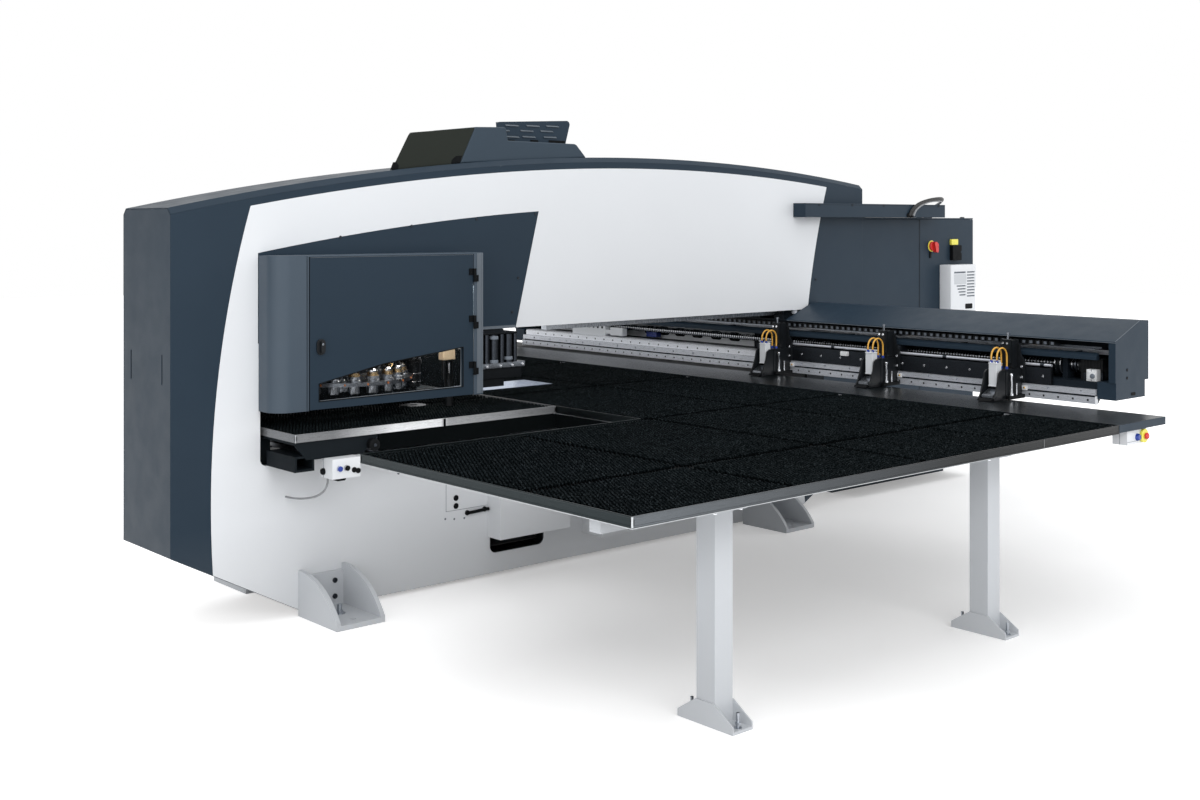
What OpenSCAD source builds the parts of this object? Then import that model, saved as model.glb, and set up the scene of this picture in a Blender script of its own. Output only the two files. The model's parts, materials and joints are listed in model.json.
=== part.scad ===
// CNC punch press: an arched bridge frame with a punching head and tool carousel at one end,
// brush tables on both sides, a sheet carriage that rolls along the frame and its control cabinet.
// Millimetres. X runs along the frame, Y along the sheet carriage, Z up.
// The origin is on the floor at the centre of the four anchor holes.

/* [Frame] */
// Left end of the frame from the centre of the anchor holes
frame_left = 2405; // [2250:5:2600]
// Right end of the frame from the centre of the anchor holes
frame_right = 2710; // [2600:5:2950]
// Thickness of the frame over its cover sheets
frame_d = 540; // [500:2:640]
// Height of the top of the arch
arch_z = 2338; // [2250:1:2600]
// Place of the top of the arch along the frame
arch_x = 723; // [500:1:900]
// Radius of the arched top
arch_r = 15400; // [14000:50:18000]
// Length of the slanted cut at each lower corner
cut_w = 692; // [500:2:720]
// Height of the slanted cut at each lower corner
cut_h = 369; // [200:1:450]
// Gap between the frame and the floor
frame_lift = 15; // [8:1:30]
// Thickness of the two side plates
plate_t = 40; // [25:1:50]
// Thickness of the cover sheets
sheet_t = 4; // [2:0.5:6]

/* [Throat] */
// Width of the left column
left_column_w = 456; // [400:2:520]
// Width of the right column
right_column_w = 420; // [360:2:480]
// Height of the throat floor
throat_z0 = 764; // [700:2:790]
// Height of the throat roof
throat_z1 = 1361; // [1350:1:1420]
// Width of the head bay above the throat
bay_w = 1449; // [1400:1:1600]
// Height of the roof of the head bay
bay_z1 = 1780; // [1740:1:1820]

/* [Head] */
// Distance from the left column to the carousel axis
carousel_in = 604; // [560:2:640]
// Outer radius of the tool ring
ring_r = 380; // [340:1:388]
// Number of tool stations
stations = 20; // [12:1:20]
// Gap between the tool ring and the punch holder
ram_gap = 27; // [20:1:50]
// Radius of the punch ram
ram_r = 60; // [45:1:70]
// Punching stroke
stroke = 37; // [20:1:40]
// Distance from the tool ring to the front of the head cover
cover_gap = 59; // [45:1:90]
// Width of the head cover
cover_w = 1229; // [1180:1:1280]
// Underside of the head cover
cover_z0 = 1033; // [1010:1:1050]
// Top of the head cover
cover_z1 = 1788; // [1785:1:1840]

/* [Tables] */
// Height of the sheet level
table_z = 950; // [930:1:980]
// Reach of each table from the middle of the frame
table_reach = 2975; // [2900:5:3300]
// Width of each table
table_w = 3728; // [3600:2:3780]
// Thickness of the table edge
edge_h = 40; // [30:1:44]
// Width of the step that the table leaves free in front of the head
step_w = 1645; // [1500:5:1700]
// Front edge of the head table from the middle of the frame
head_table_reach = 580; // [560:1:640]
// Width of a leg
leg_w = 100; // [80:1:120]

/* [Carriage] */
// Length of the carriage beam
beam_l = 5258; // [5000:2:5600]
// Width of the carriage beam over its cover
beam_w = 361; // [340:1:380]
// Travel of the beam along the frame
beam_travel = 2000; // [1000:10:2050]
// Length of the clamp bar
bar_l = 2200; // [2000:10:2400]
// Travel of the clamp bar along the beam
bar_travel = 2450; // [1000:10:2450]
// Distance between neighbouring clamps
clamp_pitch = 864; // [700:1:900]

/* [Cabinet] */
// Width of the control cabinet
cabinet_w = 1360; // [1200:5:1500]
// Depth of the control cabinet
cabinet_d = 500; // [400:5:600]
// Height of the control cabinet
cabinet_h = 1980; // [1900:5:1982]

/* [Hidden] */

// Colours
slate = [0.27, 0.31, 0.34];
pale = [0.86, 0.87, 0.89];
grey = [0.76, 0.77, 0.78];
steel = [0.62, 0.63, 0.65];
bright = [0.85, 0.86, 0.88];
brass = [0.78, 0.62, 0.32];
ink = [0.06, 0.07, 0.08];
dark = [0.3, 0.31, 0.33];

// Gap between a piece and its seat, and radial play of a running fit
seat = 0.3;
play = 0.05;

// Steps along the arch
arch_steps = 84;
// Facets of the ends of the skin
sweep_fn = 720;

// Frame
half_d = frame_d / 2;
in_y = half_d - sheet_t - seat - plate_t;
weld_in = sheet_t + 2;
web_t = 40;
bevel = 30;
skin_t = 3;
throat_x0 = -frame_left + left_column_w;
throat_x1 = frame_right - right_column_w;
throat_r = 32;
bay_x1 = throat_x0 + bay_w;
floor_z = throat_z0 - weld_in;
roof_z = throat_z1 + weld_in;
bay_roof_z = bay_z1 + weld_in;
// White skin: band left free under the arch, sweep of its two curved ends
skin_band = 66;
backing_in = 300;
sweep_r = 5070;
sweep_z = 600;
skin_x0 = throat_x0 - 256;
skin_x1 = throat_x1 - 230;
// Feet
foot_x = 1609;
foot_w = 270;
foot_out = 370;
foot_h = 227;
foot_rib_t = 24;
anchor_y = half_d + foot_out - 70;
jack_y = half_d + 170;
// Scrap outlet in the front skin
scrap_w = 380;
scrap_x0 = -560;
scrap_z0 = 125;
scrap_h = 205;
scrap_r = 40;

// Head
carousel_x = throat_x0 + carousel_in;
chuck_r = ram_r - 2;
ram_x = carousel_x + ring_r + ram_gap + chuck_r;
ring_z = 1120;
ring_t = 20;
pitch_r = ring_r - 60;
post_r = 40;
hub_r = 75;
holder_r = 30;
guide_z = 1330;
plate_z = 1480;
chuck_z1 = 1290;
// How deep the punch goes below the sheet level at the end of its stroke
die_entry = 12;
punch_z0 = table_z + stroke - die_entry;
cover_x0 = throat_x0 - 10;
cover_x1 = cover_x0 + cover_w;
cover_y = -ring_r - cover_gap;
cover_out = -half_d - cover_y;
cover_r = 90;
door_x0 = cover_x0 + 182;
door_x1 = cover_x1 - 61;
door_z1 = cover_z1 - 8;
door_t = 20;
door_gap = 3;
hinge_x = door_x1;
hinge_y = cover_y - 9;
hinge_r = 8;
pin_r = 4;
hinge_h = 70;
hinge_zs = [cover_z0 + 143, cover_z0 + 387, cover_z0 + 636];
win_x0 = cover_x0 + 237;
win_x1 = cover_x1 - 132;
lock_x = door_x0 + 64;
lock_z = cover_z0 + 308;
lock_r = 8;

// Tables
mat_z = table_z - edge_h;
trim_t = 10;
table_x1 = throat_x1 - 548;
table_x0 = table_x1 - table_w;
step_x = table_x0 + step_w;
step_y = 1244;
side_w = 470;
tube_s = 60;
die_r = 70;
board_t = 15;
leg_y = table_reach - 310;
// Legs as X and Y: two under the near table, two under the narrower far one
near_leg_xs = [step_x - 923, step_x + 923];
far_leg_xs = [step_x + 90, step_x + 1500];
leg_spots = concat([for (x = near_leg_xs) [x, -leg_y]], [for (x = far_leg_xs) [x, leg_y]]);
leg_foot_h = 94;
leg_foot_l = 300;
leg_screw_in = 26;

// Carriage
beam_x1 = throat_x1 - 55;
beam_x0 = beam_x1 - beam_w;
beam_y = beam_l / 2;
end_l = 110;
beam_z0 = table_z + 50;
beam_z1 = table_z + 320;
hood_z = table_z + 353;
hood_top_z = table_z + 455;
rail_w = 45;
rail_h = 40;
rail_y = 150;
rail_z0 = roof_z - seat - rail_h;
saddle_l = 270;
screw_x = beam_x0 + 136;
screw_z = table_z + 200;
screw_r = 20;
journal_r = 15;
guide_x = beam_x0 + 16;
guide_h = 32;
guide_z0 = beam_z0 + 4;
// Distance left between the clamp bar and the far end of the beam after the whole travel
bar_margin = 229;
bar_y0 = beam_y - bar_margin - bar_travel - bar_l;
clamp_y0 = bar_y0 + 237;
clamp_ys = [for (i = [0:2]) clamp_y0 + i * clamp_pitch];
jaw_x = beam_x0 - 184;
jaw_z = table_z + 50;
jaw_pin_r = 6;
clamp_front = beam_x0 - 174;
clamp_back = beam_x0 - 12 - seat;

// Cabinet
cab_x0 = frame_right + 20;
cab_x1 = cab_x0 + cabinet_w;
cab_y = -half_d + 20;
cab_mid = (cab_x0 + cab_x1) / 2;
cab_t = 20;
cab_lip = 10;
cab_pin_in = 9;
cab_door_z0 = 110;
cab_door_z1 = cabinet_h - cab_lip - 2;
switch_x = cab_mid + 140;
switch_z = 1771;

// Height of the arch at x, a depth below its top, and a row of such points
function arch_at(x, depth) = arch_z - arch_r + sqrt(pow(arch_r - depth, 2) - pow(x - arch_x, 2));
function arch_points(x0, x1, depth) = [for (k = [0:arch_steps]) let (x = x0 + (x1 - x0) * k / arch_steps)
  [x, arch_at(x, depth)]];

// Box between two corners
module slab(x0, x1, y0, y1, z0, z1) translate([x0, y0, z0]) cube([x1 - x0, y1 - y0, z1 - z0]);

// Outline in X and Z, from one Y to another
module upright(y0, y1) translate([0, y1, 0]) rotate([90, 0, 0]) linear_extrude(y1 - y0) children();

// Outline in Y and Z, from one X to another
module crosswise(x0, x1) translate([x0, 0, 0]) rotate([90, 0, 90]) linear_extrude(x1 - x0) children();

// Round bar along Y
module bar_along_y(x, z, r, y0, y1)
  translate([x, y1, z]) rotate([90, 0, 0]) cylinder(r = r, h = y1 - y0, $fn = 48);

// Upright round bar
module post(x, y, r, z0, z1) translate([x, y, z0]) cylinder(r = r, h = z1 - z0, $fn = 64);

module both_sides() {
  children();
  mirror([0, 1, 0]) children();
}

module soft_rect(x0, z0, x1, z1, r) {
  translate([x0 + r, z0]) square([x1 - x0 - 2 * r, z1 - z0]);
  translate([x0, z0 + r]) square([x1 - x0, z1 - z0 - 2 * r]);
  for (x = [x0 + r, x1 - r], z = [z0 + r, z1 - r]) translate([x, z]) circle(r = r, $fn = 48);
}

// Smooth tube along a route of hand-set points
function unit(v) = v / norm(v);
function smooth_at(p, i, t) = let (n = len(p) - 1, a = p[max(i - 1, 0)], b = p[i], c = p[i + 1],
  d = p[min(i + 2, n)])
  0.5 * (2 * b + (c - a) * t + (2 * a - 5 * b + 4 * c - d) * t * t + (3 * b - a - 3 * c + d) * t * t * t);
function smooth(p, steps) =
  [for (i = [0:len(p) - 2], k = [0:steps - 1]) smooth_at(p, i, k / steps), p[len(p) - 1]];
function heading(p, i) = unit(p[min(i + 1, len(p) - 1)] - p[max(i - 1, 0)]);
function ring_at(p, i, r, hint) = let (d = heading(p, i), a = unit(cross(d, hint)), b = cross(d, a))
  [for (k = [0:7]) p[i] + r * (cos(45 * k) * a + sin(45 * k) * b)];
module tube(route, r, hint) {
  p = smooth(route, 4);
  last = len(p) - 1;
  polyhedron(points = [for (i = [0:last]) each ring_at(p, i, r, hint)],
    faces = concat([[for (k = [0:7]) k]], [[for (k = [7:-1:0]) last * 8 + k]],
      [for (i = [0:last - 1], k = [0:7]) [i * 8 + k, (i + 1) * 8 + k, (i + 1) * 8 + (k + 1) % 8,
        i * 8 + (k + 1) % 8]]));
}

// Whole side of the frame: arch above, slanted cuts at the lower corners
module arch_outline(inset, z0, depth) polygon(concat([[-frame_left + inset, z0 + cut_h],
  [-frame_left + cut_w, z0], [frame_right - cut_w, z0], [frame_right - inset, z0 + cut_h]],
  arch_points(frame_right - inset, -frame_left + inset, depth)));

// Area under the arch, from one X to another
module under_arch(x0, x1, depth) polygon(concat([[x0, arch_z / 2], [x1, arch_z / 2]],
  arch_points(x1, x0, depth)));

// Opening for the sheet, with the head bay above its left end
module throat_outline(grow) {
  soft_rect(throat_x0 - grow, throat_z0 - grow, throat_x1 + grow, throat_z1 + grow, throat_r);
  translate([throat_x0 - grow, throat_z0 + throat_r])
    square([bay_w + 2 * grow, bay_z1 - throat_z0 - throat_r + grow]);
}

module scrap_outline(grow) {
  soft_rect(scrap_x0 - grow, scrap_z0 - grow, scrap_x0 + scrap_w + grow, scrap_z0 + scrap_h + grow,
    scrap_r);
}

// Dark panel round the head, slanted at its right end
module backing_outline(grow) {
  intersection() {
    under_arch(-frame_left, frame_right, backing_in - grow);
    polygon([[cover_x0 - grow, throat_z1], [bay_x1 + 118 + grow, throat_z1],
      [bay_x1 + 295 + grow, arch_z - 280], [cover_x0 - grow, arch_z - 280]]);
  }
}

// Upright and level webs between the two side plates: x0, x1, z0, z1
webs = [
  [-frame_left + cut_w, frame_right - cut_w, frame_lift + weld_in, frame_lift + weld_in + web_t],
  [throat_x0 - weld_in - web_t, throat_x1 + weld_in + web_t, floor_z - web_t, floor_z],
  [bay_x1 + weld_in, throat_x1 + weld_in + web_t, roof_z, roof_z + web_t],
  [throat_x0 - weld_in - web_t, bay_x1 + weld_in + web_t, bay_roof_z, bay_roof_z + web_t],
  [throat_x0 - weld_in - web_t, throat_x0 - weld_in, floor_z - web_t, bay_roof_z + web_t],
  [bay_x1 + weld_in, bay_x1 + weld_in + web_t, roof_z, bay_roof_z + web_t],
  [throat_x1 + weld_in, throat_x1 + weld_in + web_t, floor_z - web_t, roof_z + web_t],
  [-frame_left + 20, -frame_left + 20 + web_t, frame_lift + cut_h + 60, arch_at(-frame_left, 80)],
  [frame_right - 20 - web_t, frame_right - 20, frame_lift + cut_h + 60, arch_at(frame_right, 120)]];

module bridge_frame() color(steel) difference() {
  union() {
    both_sides() upright(in_y, in_y + plate_t) difference() {
      arch_outline(weld_in, frame_lift + weld_in, bevel + 2 * sheet_t);
      throat_outline(weld_in);
    }
    for (w = webs) slab(w[0], w[1], -in_y - 1, in_y + 1, w[2], w[3]);
  }
  post(ram_x, 0, ram_r + 4, bay_z1, bay_roof_z + web_t + 10);
  upright(-in_y - plate_t - 1, -in_y + 1) scrap_outline(3);
}

module frame_casings() color(slate) {
  upright(-half_d, -half_d + sheet_t) difference() {
    arch_outline(0, frame_lift, bevel + seat);
    throat_outline(0);
    scrap_outline(0);
  }
  upright(half_d - sheet_t, half_d) difference() {
    arch_outline(0, frame_lift, bevel + seat);
    throat_outline(0);
  }
}

// Bent cover on the arch; its section is given as Y and depth below the arch
cover_section = [[-half_d, bevel], [-half_d + bevel, 0], [half_d - bevel, 0], [half_d, bevel],
  [half_d - sheet_t, bevel], [half_d - bevel - sheet_t / 2, sheet_t],
  [-half_d + bevel + sheet_t / 2, sheet_t], [-half_d + sheet_t, bevel]];
cover_quads = [[0, 1, 6, 7], [1, 2, 5, 6], [2, 3, 4, 5]];
module top_cover() color(slate) {
  n = len(cover_section);
  last = arch_steps;
  polyhedron(points = [for (k = [0:last], c = cover_section)
      let (x = -frame_left + (frame_left + frame_right) * k / last) [x, c[0], arch_at(x, c[1])]],
    faces = concat([for (q = cover_quads) q], [for (q = cover_quads) [for (j = [3:-1:0]) last * n + q[j]]],
      [for (k = [0:last - 1], i = [0:n - 1]) [k * n + i, k * n + n + i, k * n + n + (i + 1) % n,
        k * n + (i + 1) % n]]));
}

module end_panel(x, top) difference() {
  y = half_d - sheet_t - seat;
  crosswise(x, x + sheet_t) polygon([[-y, frame_lift + cut_h], [y, frame_lift + cut_h],
    [y, top - bevel], [y - bevel, top], [-y + bevel, top], [-y, top - bevel]]);
  for (y = [-176, 176]) slab(x - 1, x + sheet_t + 1, y - 5, y + 5, 1187, 1327);
}
module end_panels() color(slate) {
  end_panel(-frame_left, arch_at(-frame_left, sheet_t + 1));
  end_panel(frame_right - sheet_t, arch_at(frame_right, sheet_t + 1));
}

module skin_outline() difference() {
  intersection() {
    arch_outline(2, frame_lift + 2, skin_band);
    translate([skin_x0 + sweep_r, sweep_z]) circle(r = sweep_r, $fn = sweep_fn);
  }
  translate([skin_x1 + sweep_r, sweep_z]) circle(r = sweep_r, $fn = sweep_fn);
  throat_outline(0);
}
module frame_skins() color(pale) {
  upright(-half_d - skin_t, -half_d) difference() {
    skin_outline();
    backing_outline(2);
    scrap_outline(0);
  }
  upright(half_d, half_d + skin_t) difference() {
    skin_outline();
    backing_outline(2);
  }
}

// Bolted foot with two curved ribs
module anchor_foot() difference() {
  translate([0, -half_d - skin_t, 0]) {
    slab(-foot_w / 2, foot_w / 2, -foot_out, 0, 0, 25);
    slab(-foot_w / 2, foot_w / 2, -20, 0, 0, foot_h - 30);
    for (x = [-foot_w / 2, foot_w / 2 - foot_rib_t]) crosswise(x, x + foot_rib_t) intersection() {
      translate([-10, foot_h - 427.5]) circle(r = 427.5, $fn = 180);
      translate([-foot_out, 0]) square([foot_out, foot_h]);
    }
  }
  post(0, -anchor_y, 14, -1, 26);
  post(0, -jack_y, 12.3, -1, 26);
}
module anchor_feet() color(grey)
  for (x = [-foot_x, foot_x]) both_sides() translate([x, 0, 0]) anchor_foot();

module jack(x, y, r, base) {
  post(x, y, r, base, base + 70);
  translate([x, y, base + 25.3]) cylinder(r = r * 1.7, h = r * 1.2, $fn = 6);
}
module levelling_screws() color(steel) {
  for (x = [-foot_x, foot_x]) both_sides() jack(x, -jack_y, 12, 0);
  for (p = leg_spots, s = [-1, 1]) jack(p[0], p[1] + s * (leg_foot_l / 2 - leg_screw_in), 7, 0);
}

// Hoods on top of the frame. Their left ends run back on a slant.
hood_y = half_d - 60;
hood_slant = 0.78;
// All that is left of a slanted end, whose front edge runs up from p to q at depth y
module left_of_end(p, q, y, wall) {
  run = q[0] - p[0];
  rise = q[1] - p[1];
  tilt = asin(run / norm([rise, hood_slant * rise, run]));
  translate([p[0] + wall * 1.3, y, p[1]]) rotate([0, tilt, atan(-hood_slant)])
    translate([-1000, -1000, -1000]) cube([1000, 2000, 2000]);
}
module hood_shell() difference() {
  upright(-hood_y, hood_y) children(0);
  upright(-hood_y + sheet_t, hood_y - sheet_t) children(1);
}
module fan_outline(i) polygon([[-1159 + i, arch_at(-1159, 0) - 40], [-1046 + i, 2425 - i],
  [-617 - i, 2471 - i], [-718 - i, arch_at(-715, 0) - 40]]);
fan_p = [-1159, arch_at(-1159, 0) - 40];
fan_q = [-1046, 2425];
module fan_hood() color([0.2, 0.21, 0.18]) difference() {
  upright(-hood_y, hood_y) fan_outline(0);
  difference() {
    upright(-hood_y + sheet_t, hood_y - sheet_t) fan_outline(sheet_t);
    left_of_end(fan_p, fan_q, -hood_y, sheet_t);
  }
  left_of_end(fan_p, fan_q, -hood_y, 0);
  arch_below();
}
module base_outline(i) polygon([[-715 + i, arch_at(-715, 0) - 40], [-614 + i, 2475 - i],
  [-400 - i, 2483 - i], [-384 - i, 2410 - i], [117 - i, 2407 - i], [196 - i, arch_at(196, 0) - 20]]);
module hood_base() color(slate) difference() {
  hood_shell() { base_outline(0); base_outline(sheet_t); }
  arch_below();
}
module arch_below() upright(-half_d, half_d) under_arch(-frame_left, frame_right, -seat);
vent_y = 110;
module vent_outline(i) polygon([[-383 + i, 2410 + seat + i], [-398 + i, 2518 - i], [158 - i, 2550 - i],
  [117 - i, 2407 + seat + i]]);
vent_p = [-383, 2410];
vent_q = [-398, 2518];
module vent_hood() color(slate) difference() {
  upright(-vent_y, hood_y) vent_outline(0);
  difference() {
    upright(-vent_y + sheet_t, hood_y - sheet_t) vent_outline(sheet_t);
    left_of_end(vent_p, vent_q, -vent_y, sheet_t);
  }
  left_of_end(vent_p, vent_q, -vent_y, 0);
  for (row = [0:2], col = [0:2])
    slab(-300 + 145 * col + 20 * (row % 2), -190 + 145 * col + 20 * (row % 2), -vent_y - 1,
      -vent_y + sheet_t + 1, 2437 + 32 * row, 2449 + 32 * row);
}

module drive_motors() color(ink) {
  // Pump motor under the dark hood, lying along the frame
  motor_z = arch_at(-850, 0) + 95;
  motor_y = -90;
  translate([-910, motor_y, motor_z]) rotate([0, 90, 0]) cylinder(r = 70, h = 180, $fn = 48);
  difference() {
    slab(-890, -760, motor_y - 60, motor_y + 60, arch_at(-850, 0) - 20, motor_z - 40);
    arch_below();
  }
  // Indexing motor of the carousel
  post(carousel_x, 0, 80, plate_z + 60 + seat, plate_z + 80);
  post(carousel_x, 0, 60, plate_z + 80, plate_z + 230);
}

module head_backing() color(slate) {
  for (s = [-1, 1]) upright(s < 0 ? -half_d - skin_t : half_d, s < 0 ? -half_d : half_d + skin_t)
    difference() {
      backing_outline(0);
      translate([throat_x0, throat_z1 - 1]) square([cover_x1 - 20 - throat_x0, bay_z1 - 10 - throat_z1]);
    }
}

// Plan of the head cover with one round corner
module cover_plan(i) intersection() {
  union() {
    translate([cover_x0 + cover_r, cover_y + cover_r]) circle(r = cover_r - i, $fn = 96);
    translate([cover_x0 + cover_r, cover_y + i]) square([cover_w - cover_r - i, cover_out]);
    translate([cover_x0 + i, cover_y + cover_r]) square([cover_w - 2 * i, cover_out]);
  }
  translate([cover_x0, cover_y]) square([cover_w, cover_out - skin_t]);
}
module cover_shell() difference() {
  translate([0, 0, cover_z0]) linear_extrude(cover_z1 - cover_z0) cover_plan(0);
  difference() {
    translate([0, 0, cover_z0 - 1]) linear_extrude(cover_z1 - cover_z0 + 1 - sheet_t) cover_plan(sheet_t);
    slab(cover_x0, cover_x1, cover_y, 0, cover_z1 - sheet_t, cover_z1);
  }
  slab(cover_x0 + sheet_t, cover_x1 - sheet_t, -half_d - skin_t - 20, 0, cover_z0 - 1,
    cover_z1 - sheet_t);
}
module head_covers() color(slate) {
  difference() {
    cover_shell();
    slab(door_x0, door_x1, cover_y - 1, cover_y + sheet_t + 1, cover_z0 - 1, door_z1);
  }
  mirror([0, 1, 0]) cover_shell();
}

// Casting that carries the ram and the carousel, hung under the bay roof
module head_casting() color(grey) difference() {
  union() {
    slab(ram_x - 110, ram_x + 110, -170, 170, guide_z, bay_roof_z - seat);
    slab(carousel_x - 255, ram_x, -170, 170, plate_z, plate_z + 60);
    slab(carousel_x - 255, carousel_x - 205, -170, 170, plate_z, bay_roof_z - seat);
  }
  post(ram_x, 0, ram_r, guide_z - 1, bay_roof_z + 1);
}

module carousel_posts() color(steel) {
  // Upper post hangs from the casting, lower one stands on the throat floor
  post(carousel_x, 0, post_r - play, ring_z - 60, plate_z - 20);
  post(carousel_x, 0, 80, plate_z - 20, plate_z - seat);
  post(carousel_x, 0, hub_r - 10, ring_z - 60, ring_z - 45);
  post(carousel_x, 0, 80, floor_z + seat, floor_z + 20);
  post(carousel_x, 0, post_r - play, floor_z + 20, floor_z + 105);
}

// Door hinges: lower knuckle with its pin on the cover, upper knuckle on the door
module hinge_brackets() color(ink) for (z = hinge_zs) {
  post(hinge_x, hinge_y, hinge_r, z - hinge_h / 2, z - seat);
  post(hinge_x, hinge_y, pin_r, z - seat, z + hinge_h / 2 - 4);
  slab(hinge_x, hinge_x + 28, cover_y - 5, cover_y, z - hinge_h / 2, z - seat);
}
module hinge_leaves() color(ink) for (z = hinge_zs) difference() {
  union() {
    post(hinge_x, hinge_y, hinge_r, z + seat, z + hinge_h / 2);
    slab(hinge_x - 32, hinge_x, cover_y - 5, cover_y, z + seat, z + hinge_h / 2);
  }
  post(hinge_x, hinge_y, pin_r + play, z - 1, z + hinge_h / 2 - 3);
}

module window_outline(g) polygon([[win_x0 - g, cover_z0 + 42 - g], [win_x1 + g, cover_z0 + 50 - g],
  [win_x1 + g, cover_z0 + 258 + g], [win_x0 + 372, cover_z0 + 202 + g],
  [win_x0 - g, cover_z0 + 128 + g]]);
module head_door() color(slate) difference() {
  upright(cover_y, cover_y + door_t) difference() {
    translate([door_x0 + door_gap, cover_z0 + door_gap])
      square([door_x1 - door_x0 - 2 * door_gap, door_z1 - cover_z0 - 2 * door_gap]);
    window_outline(0);
  }
  bar_along_y(lock_x, lock_z, lock_r + play, cover_y - 1, cover_y + door_t + 1);
}
module door_window() color([0.3, 0.34, 0.36, 0.4])
  upright(cover_y + door_t, cover_y + door_t + 4) window_outline(10);
module door_lock() color(ink) {
  bar_along_y(lock_x, lock_z, 26, cover_y - 6, cover_y - seat);
  bar_along_y(lock_x, lock_z, lock_r, cover_y - 7, cover_y + door_t + 8);
  slab(lock_x - 7, lock_x + 7, cover_y - 24, cover_y - 5, lock_z - 22, lock_z + 22);
  slab(lock_x - 50, lock_x + 9, cover_y + door_t + 2, cover_y + door_t + 8, lock_z - 9, lock_z + 9);
}

module punch_ram() color(bright) post(ram_x, 0, ram_r - play, chuck_z1, bay_roof_z + 210);
module ram_chuck() color(brass) difference() {
  post(ram_x, 0, chuck_r, chuck_z1 - 60, chuck_z1 - seat);
  for (a = [0:60:300]) translate([ram_x, 0, 0]) rotate([0, 0, a])
    post(chuck_r - 12, 0, 5, chuck_z1 - 61, chuck_z1);
}
module active_punch() color(ink) {
  post(ram_x, 0, 38, punch_z0 + 70, chuck_z1 - 60 - seat);
  post(ram_x, 0, 44, chuck_z1 - 120, chuck_z1 - 95);
  post(ram_x, 0, 18, punch_z0, punch_z0 + 70);
}
module ram_cylinder() color(steel) difference() {
  union() {
    post(ram_x, 0, 95, bay_roof_z + web_t + seat, bay_roof_z + 290);
    post(ram_x, 0, 130, bay_roof_z + web_t + seat, bay_roof_z + web_t + 25);
  }
  post(ram_x, 0, ram_r, bay_roof_z + web_t - 1, bay_roof_z + 260);
}

// Ring of stations with a hub and spokes; z is the underside of the ring
module station_ring(z, hub_z0, hub_z1) difference() {
  union() {
    difference() {
      post(carousel_x, 0, ring_r, z, z + ring_t);
      post(carousel_x, 0, ring_r - 130, z - 1, z + ring_t + 1);
    }
    post(carousel_x, 0, hub_r, hub_z0, hub_z1);
    for (a = [0:45:315]) translate([carousel_x, 0, z]) rotate([0, 0, a])
      translate([0, -20, 0]) cube([ring_r - 100, 40, ring_t]);
  }
  post(carousel_x, 0, post_r, hub_z0 - 1, hub_z1 + 1);
  for (i = [0:stations - 1]) translate([carousel_x, 0, 0]) rotate([0, 0, 360 * i / stations])
    post(pitch_r, 0, holder_r + seat, z - 1, z + ring_t + 1);
}
module tool_carousel() color(steel) station_ring(ring_z, ring_z - 45 + seat, ring_z + 60);
module tool_holders() color(bright) for (i = [0:stations - 1])
  translate([carousel_x, 0, 0]) rotate([0, 0, 360 * i / stations]) translate([pitch_r, 0, 0])
    rotate_extrude($fn = 48) polygon([[0, ring_z - 55], [20, ring_z - 55], [holder_r, ring_z - 40],
      [holder_r, ring_z + ring_t + seat], [38, ring_z + ring_t + seat], [38, ring_z + 46],
      [22, ring_z + 46], [22, ring_z + 82], [0, ring_z + 82]]);
die_z = floor_z + 45;
module die_carousel() color(dark) {
  station_ring(die_z, floor_z + 20 + seat, die_z + 40);
  for (i = [0:stations - 1]) translate([carousel_x, 0, 0]) rotate([0, 0, 360 * i / stations]) {
    post(pitch_r, 0, holder_r, die_z - 20, die_z + 55);
    post(pitch_r, 0, holder_r + 5, die_z + ring_t + seat, die_z + 45);
  }
}
module die_block() color(dark) difference() {
  union() {
    post(ram_x, 0, die_r, floor_z + seat, table_z - 5);
    post(ram_x, 0, die_r + 8, floor_z + seat, floor_z + 20);
  }
  post(ram_x, 0, 24, floor_z - 1, table_z);
}

// Welded tube frames under the tables; the near one has a wing in front of the head, set back from
// its edge but for the first tube
frame_z0 = mat_z - seat - tube_s;
frame_in = 60;
row_ys = [-table_reach + 208, -table_reach / 2 - 380, -step_y - 130];
wing_in = 300;
module table_frame(x_first, x0, long_xs, short_xs) {
  inner = step_x + frame_in;
  last = table_x1 - frame_in;
  for (i = [0:2])
    slab(i == 0 ? x_first : x0, last, row_ys[i], row_ys[i] + tube_s, frame_z0, frame_z0 + tube_s);
  slab(inner, last, -half_d - 120, -half_d - 120 + tube_s, frame_z0, frame_z0 + tube_s);
  for (x = short_xs) slab(x, x + tube_s, row_ys[0], row_ys[2] + tube_s, frame_z0, frame_z0 + tube_s);
  for (x = long_xs) slab(x, x + tube_s, row_ys[0], -2, frame_z0, frame_z0 + tube_s);
  for (x = [inner, last - tube_s]) slab(x, x + tube_s, -160, -60, floor_z + seat, frame_z0 + 1);
}
module table_frames() color(grey) {
  inner = step_x + frame_in;
  last = table_x1 - frame_in - tube_s;
  table_frame(table_x0 + 40, table_x0 + wing_in, [inner, near_leg_xs[1] - tube_s / 2, last],
    [table_x0 + wing_in, near_leg_xs[0] - tube_s / 2]);
  mirror([0, 1, 0]) table_frame(inner, inner, [inner, far_leg_xs[1] - tube_s / 2, last], []);
}

// Edge trim: the near table has a step in front of the head, the far one a straight side
module edge_trim(x0, x1, y0, y1) slab(x0, x1, y0, y1, mat_z, table_z);
module near_trim() {
  edge_trim(table_x0, table_x1 - side_w, -table_reach, -table_reach + trim_t);
  edge_trim(table_x0, table_x0 + trim_t, -table_reach, -step_y);
  edge_trim(table_x0, step_x + trim_t, -step_y - trim_t, -step_y);
  edge_trim(step_x, step_x + trim_t, -step_y - 1, -head_table_reach - seat);
}
module far_trim() {
  edge_trim(step_x, table_x1 - side_w, table_reach - trim_t, table_reach);
  edge_trim(step_x, step_x + trim_t, head_table_reach + seat, table_reach);
}
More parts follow.
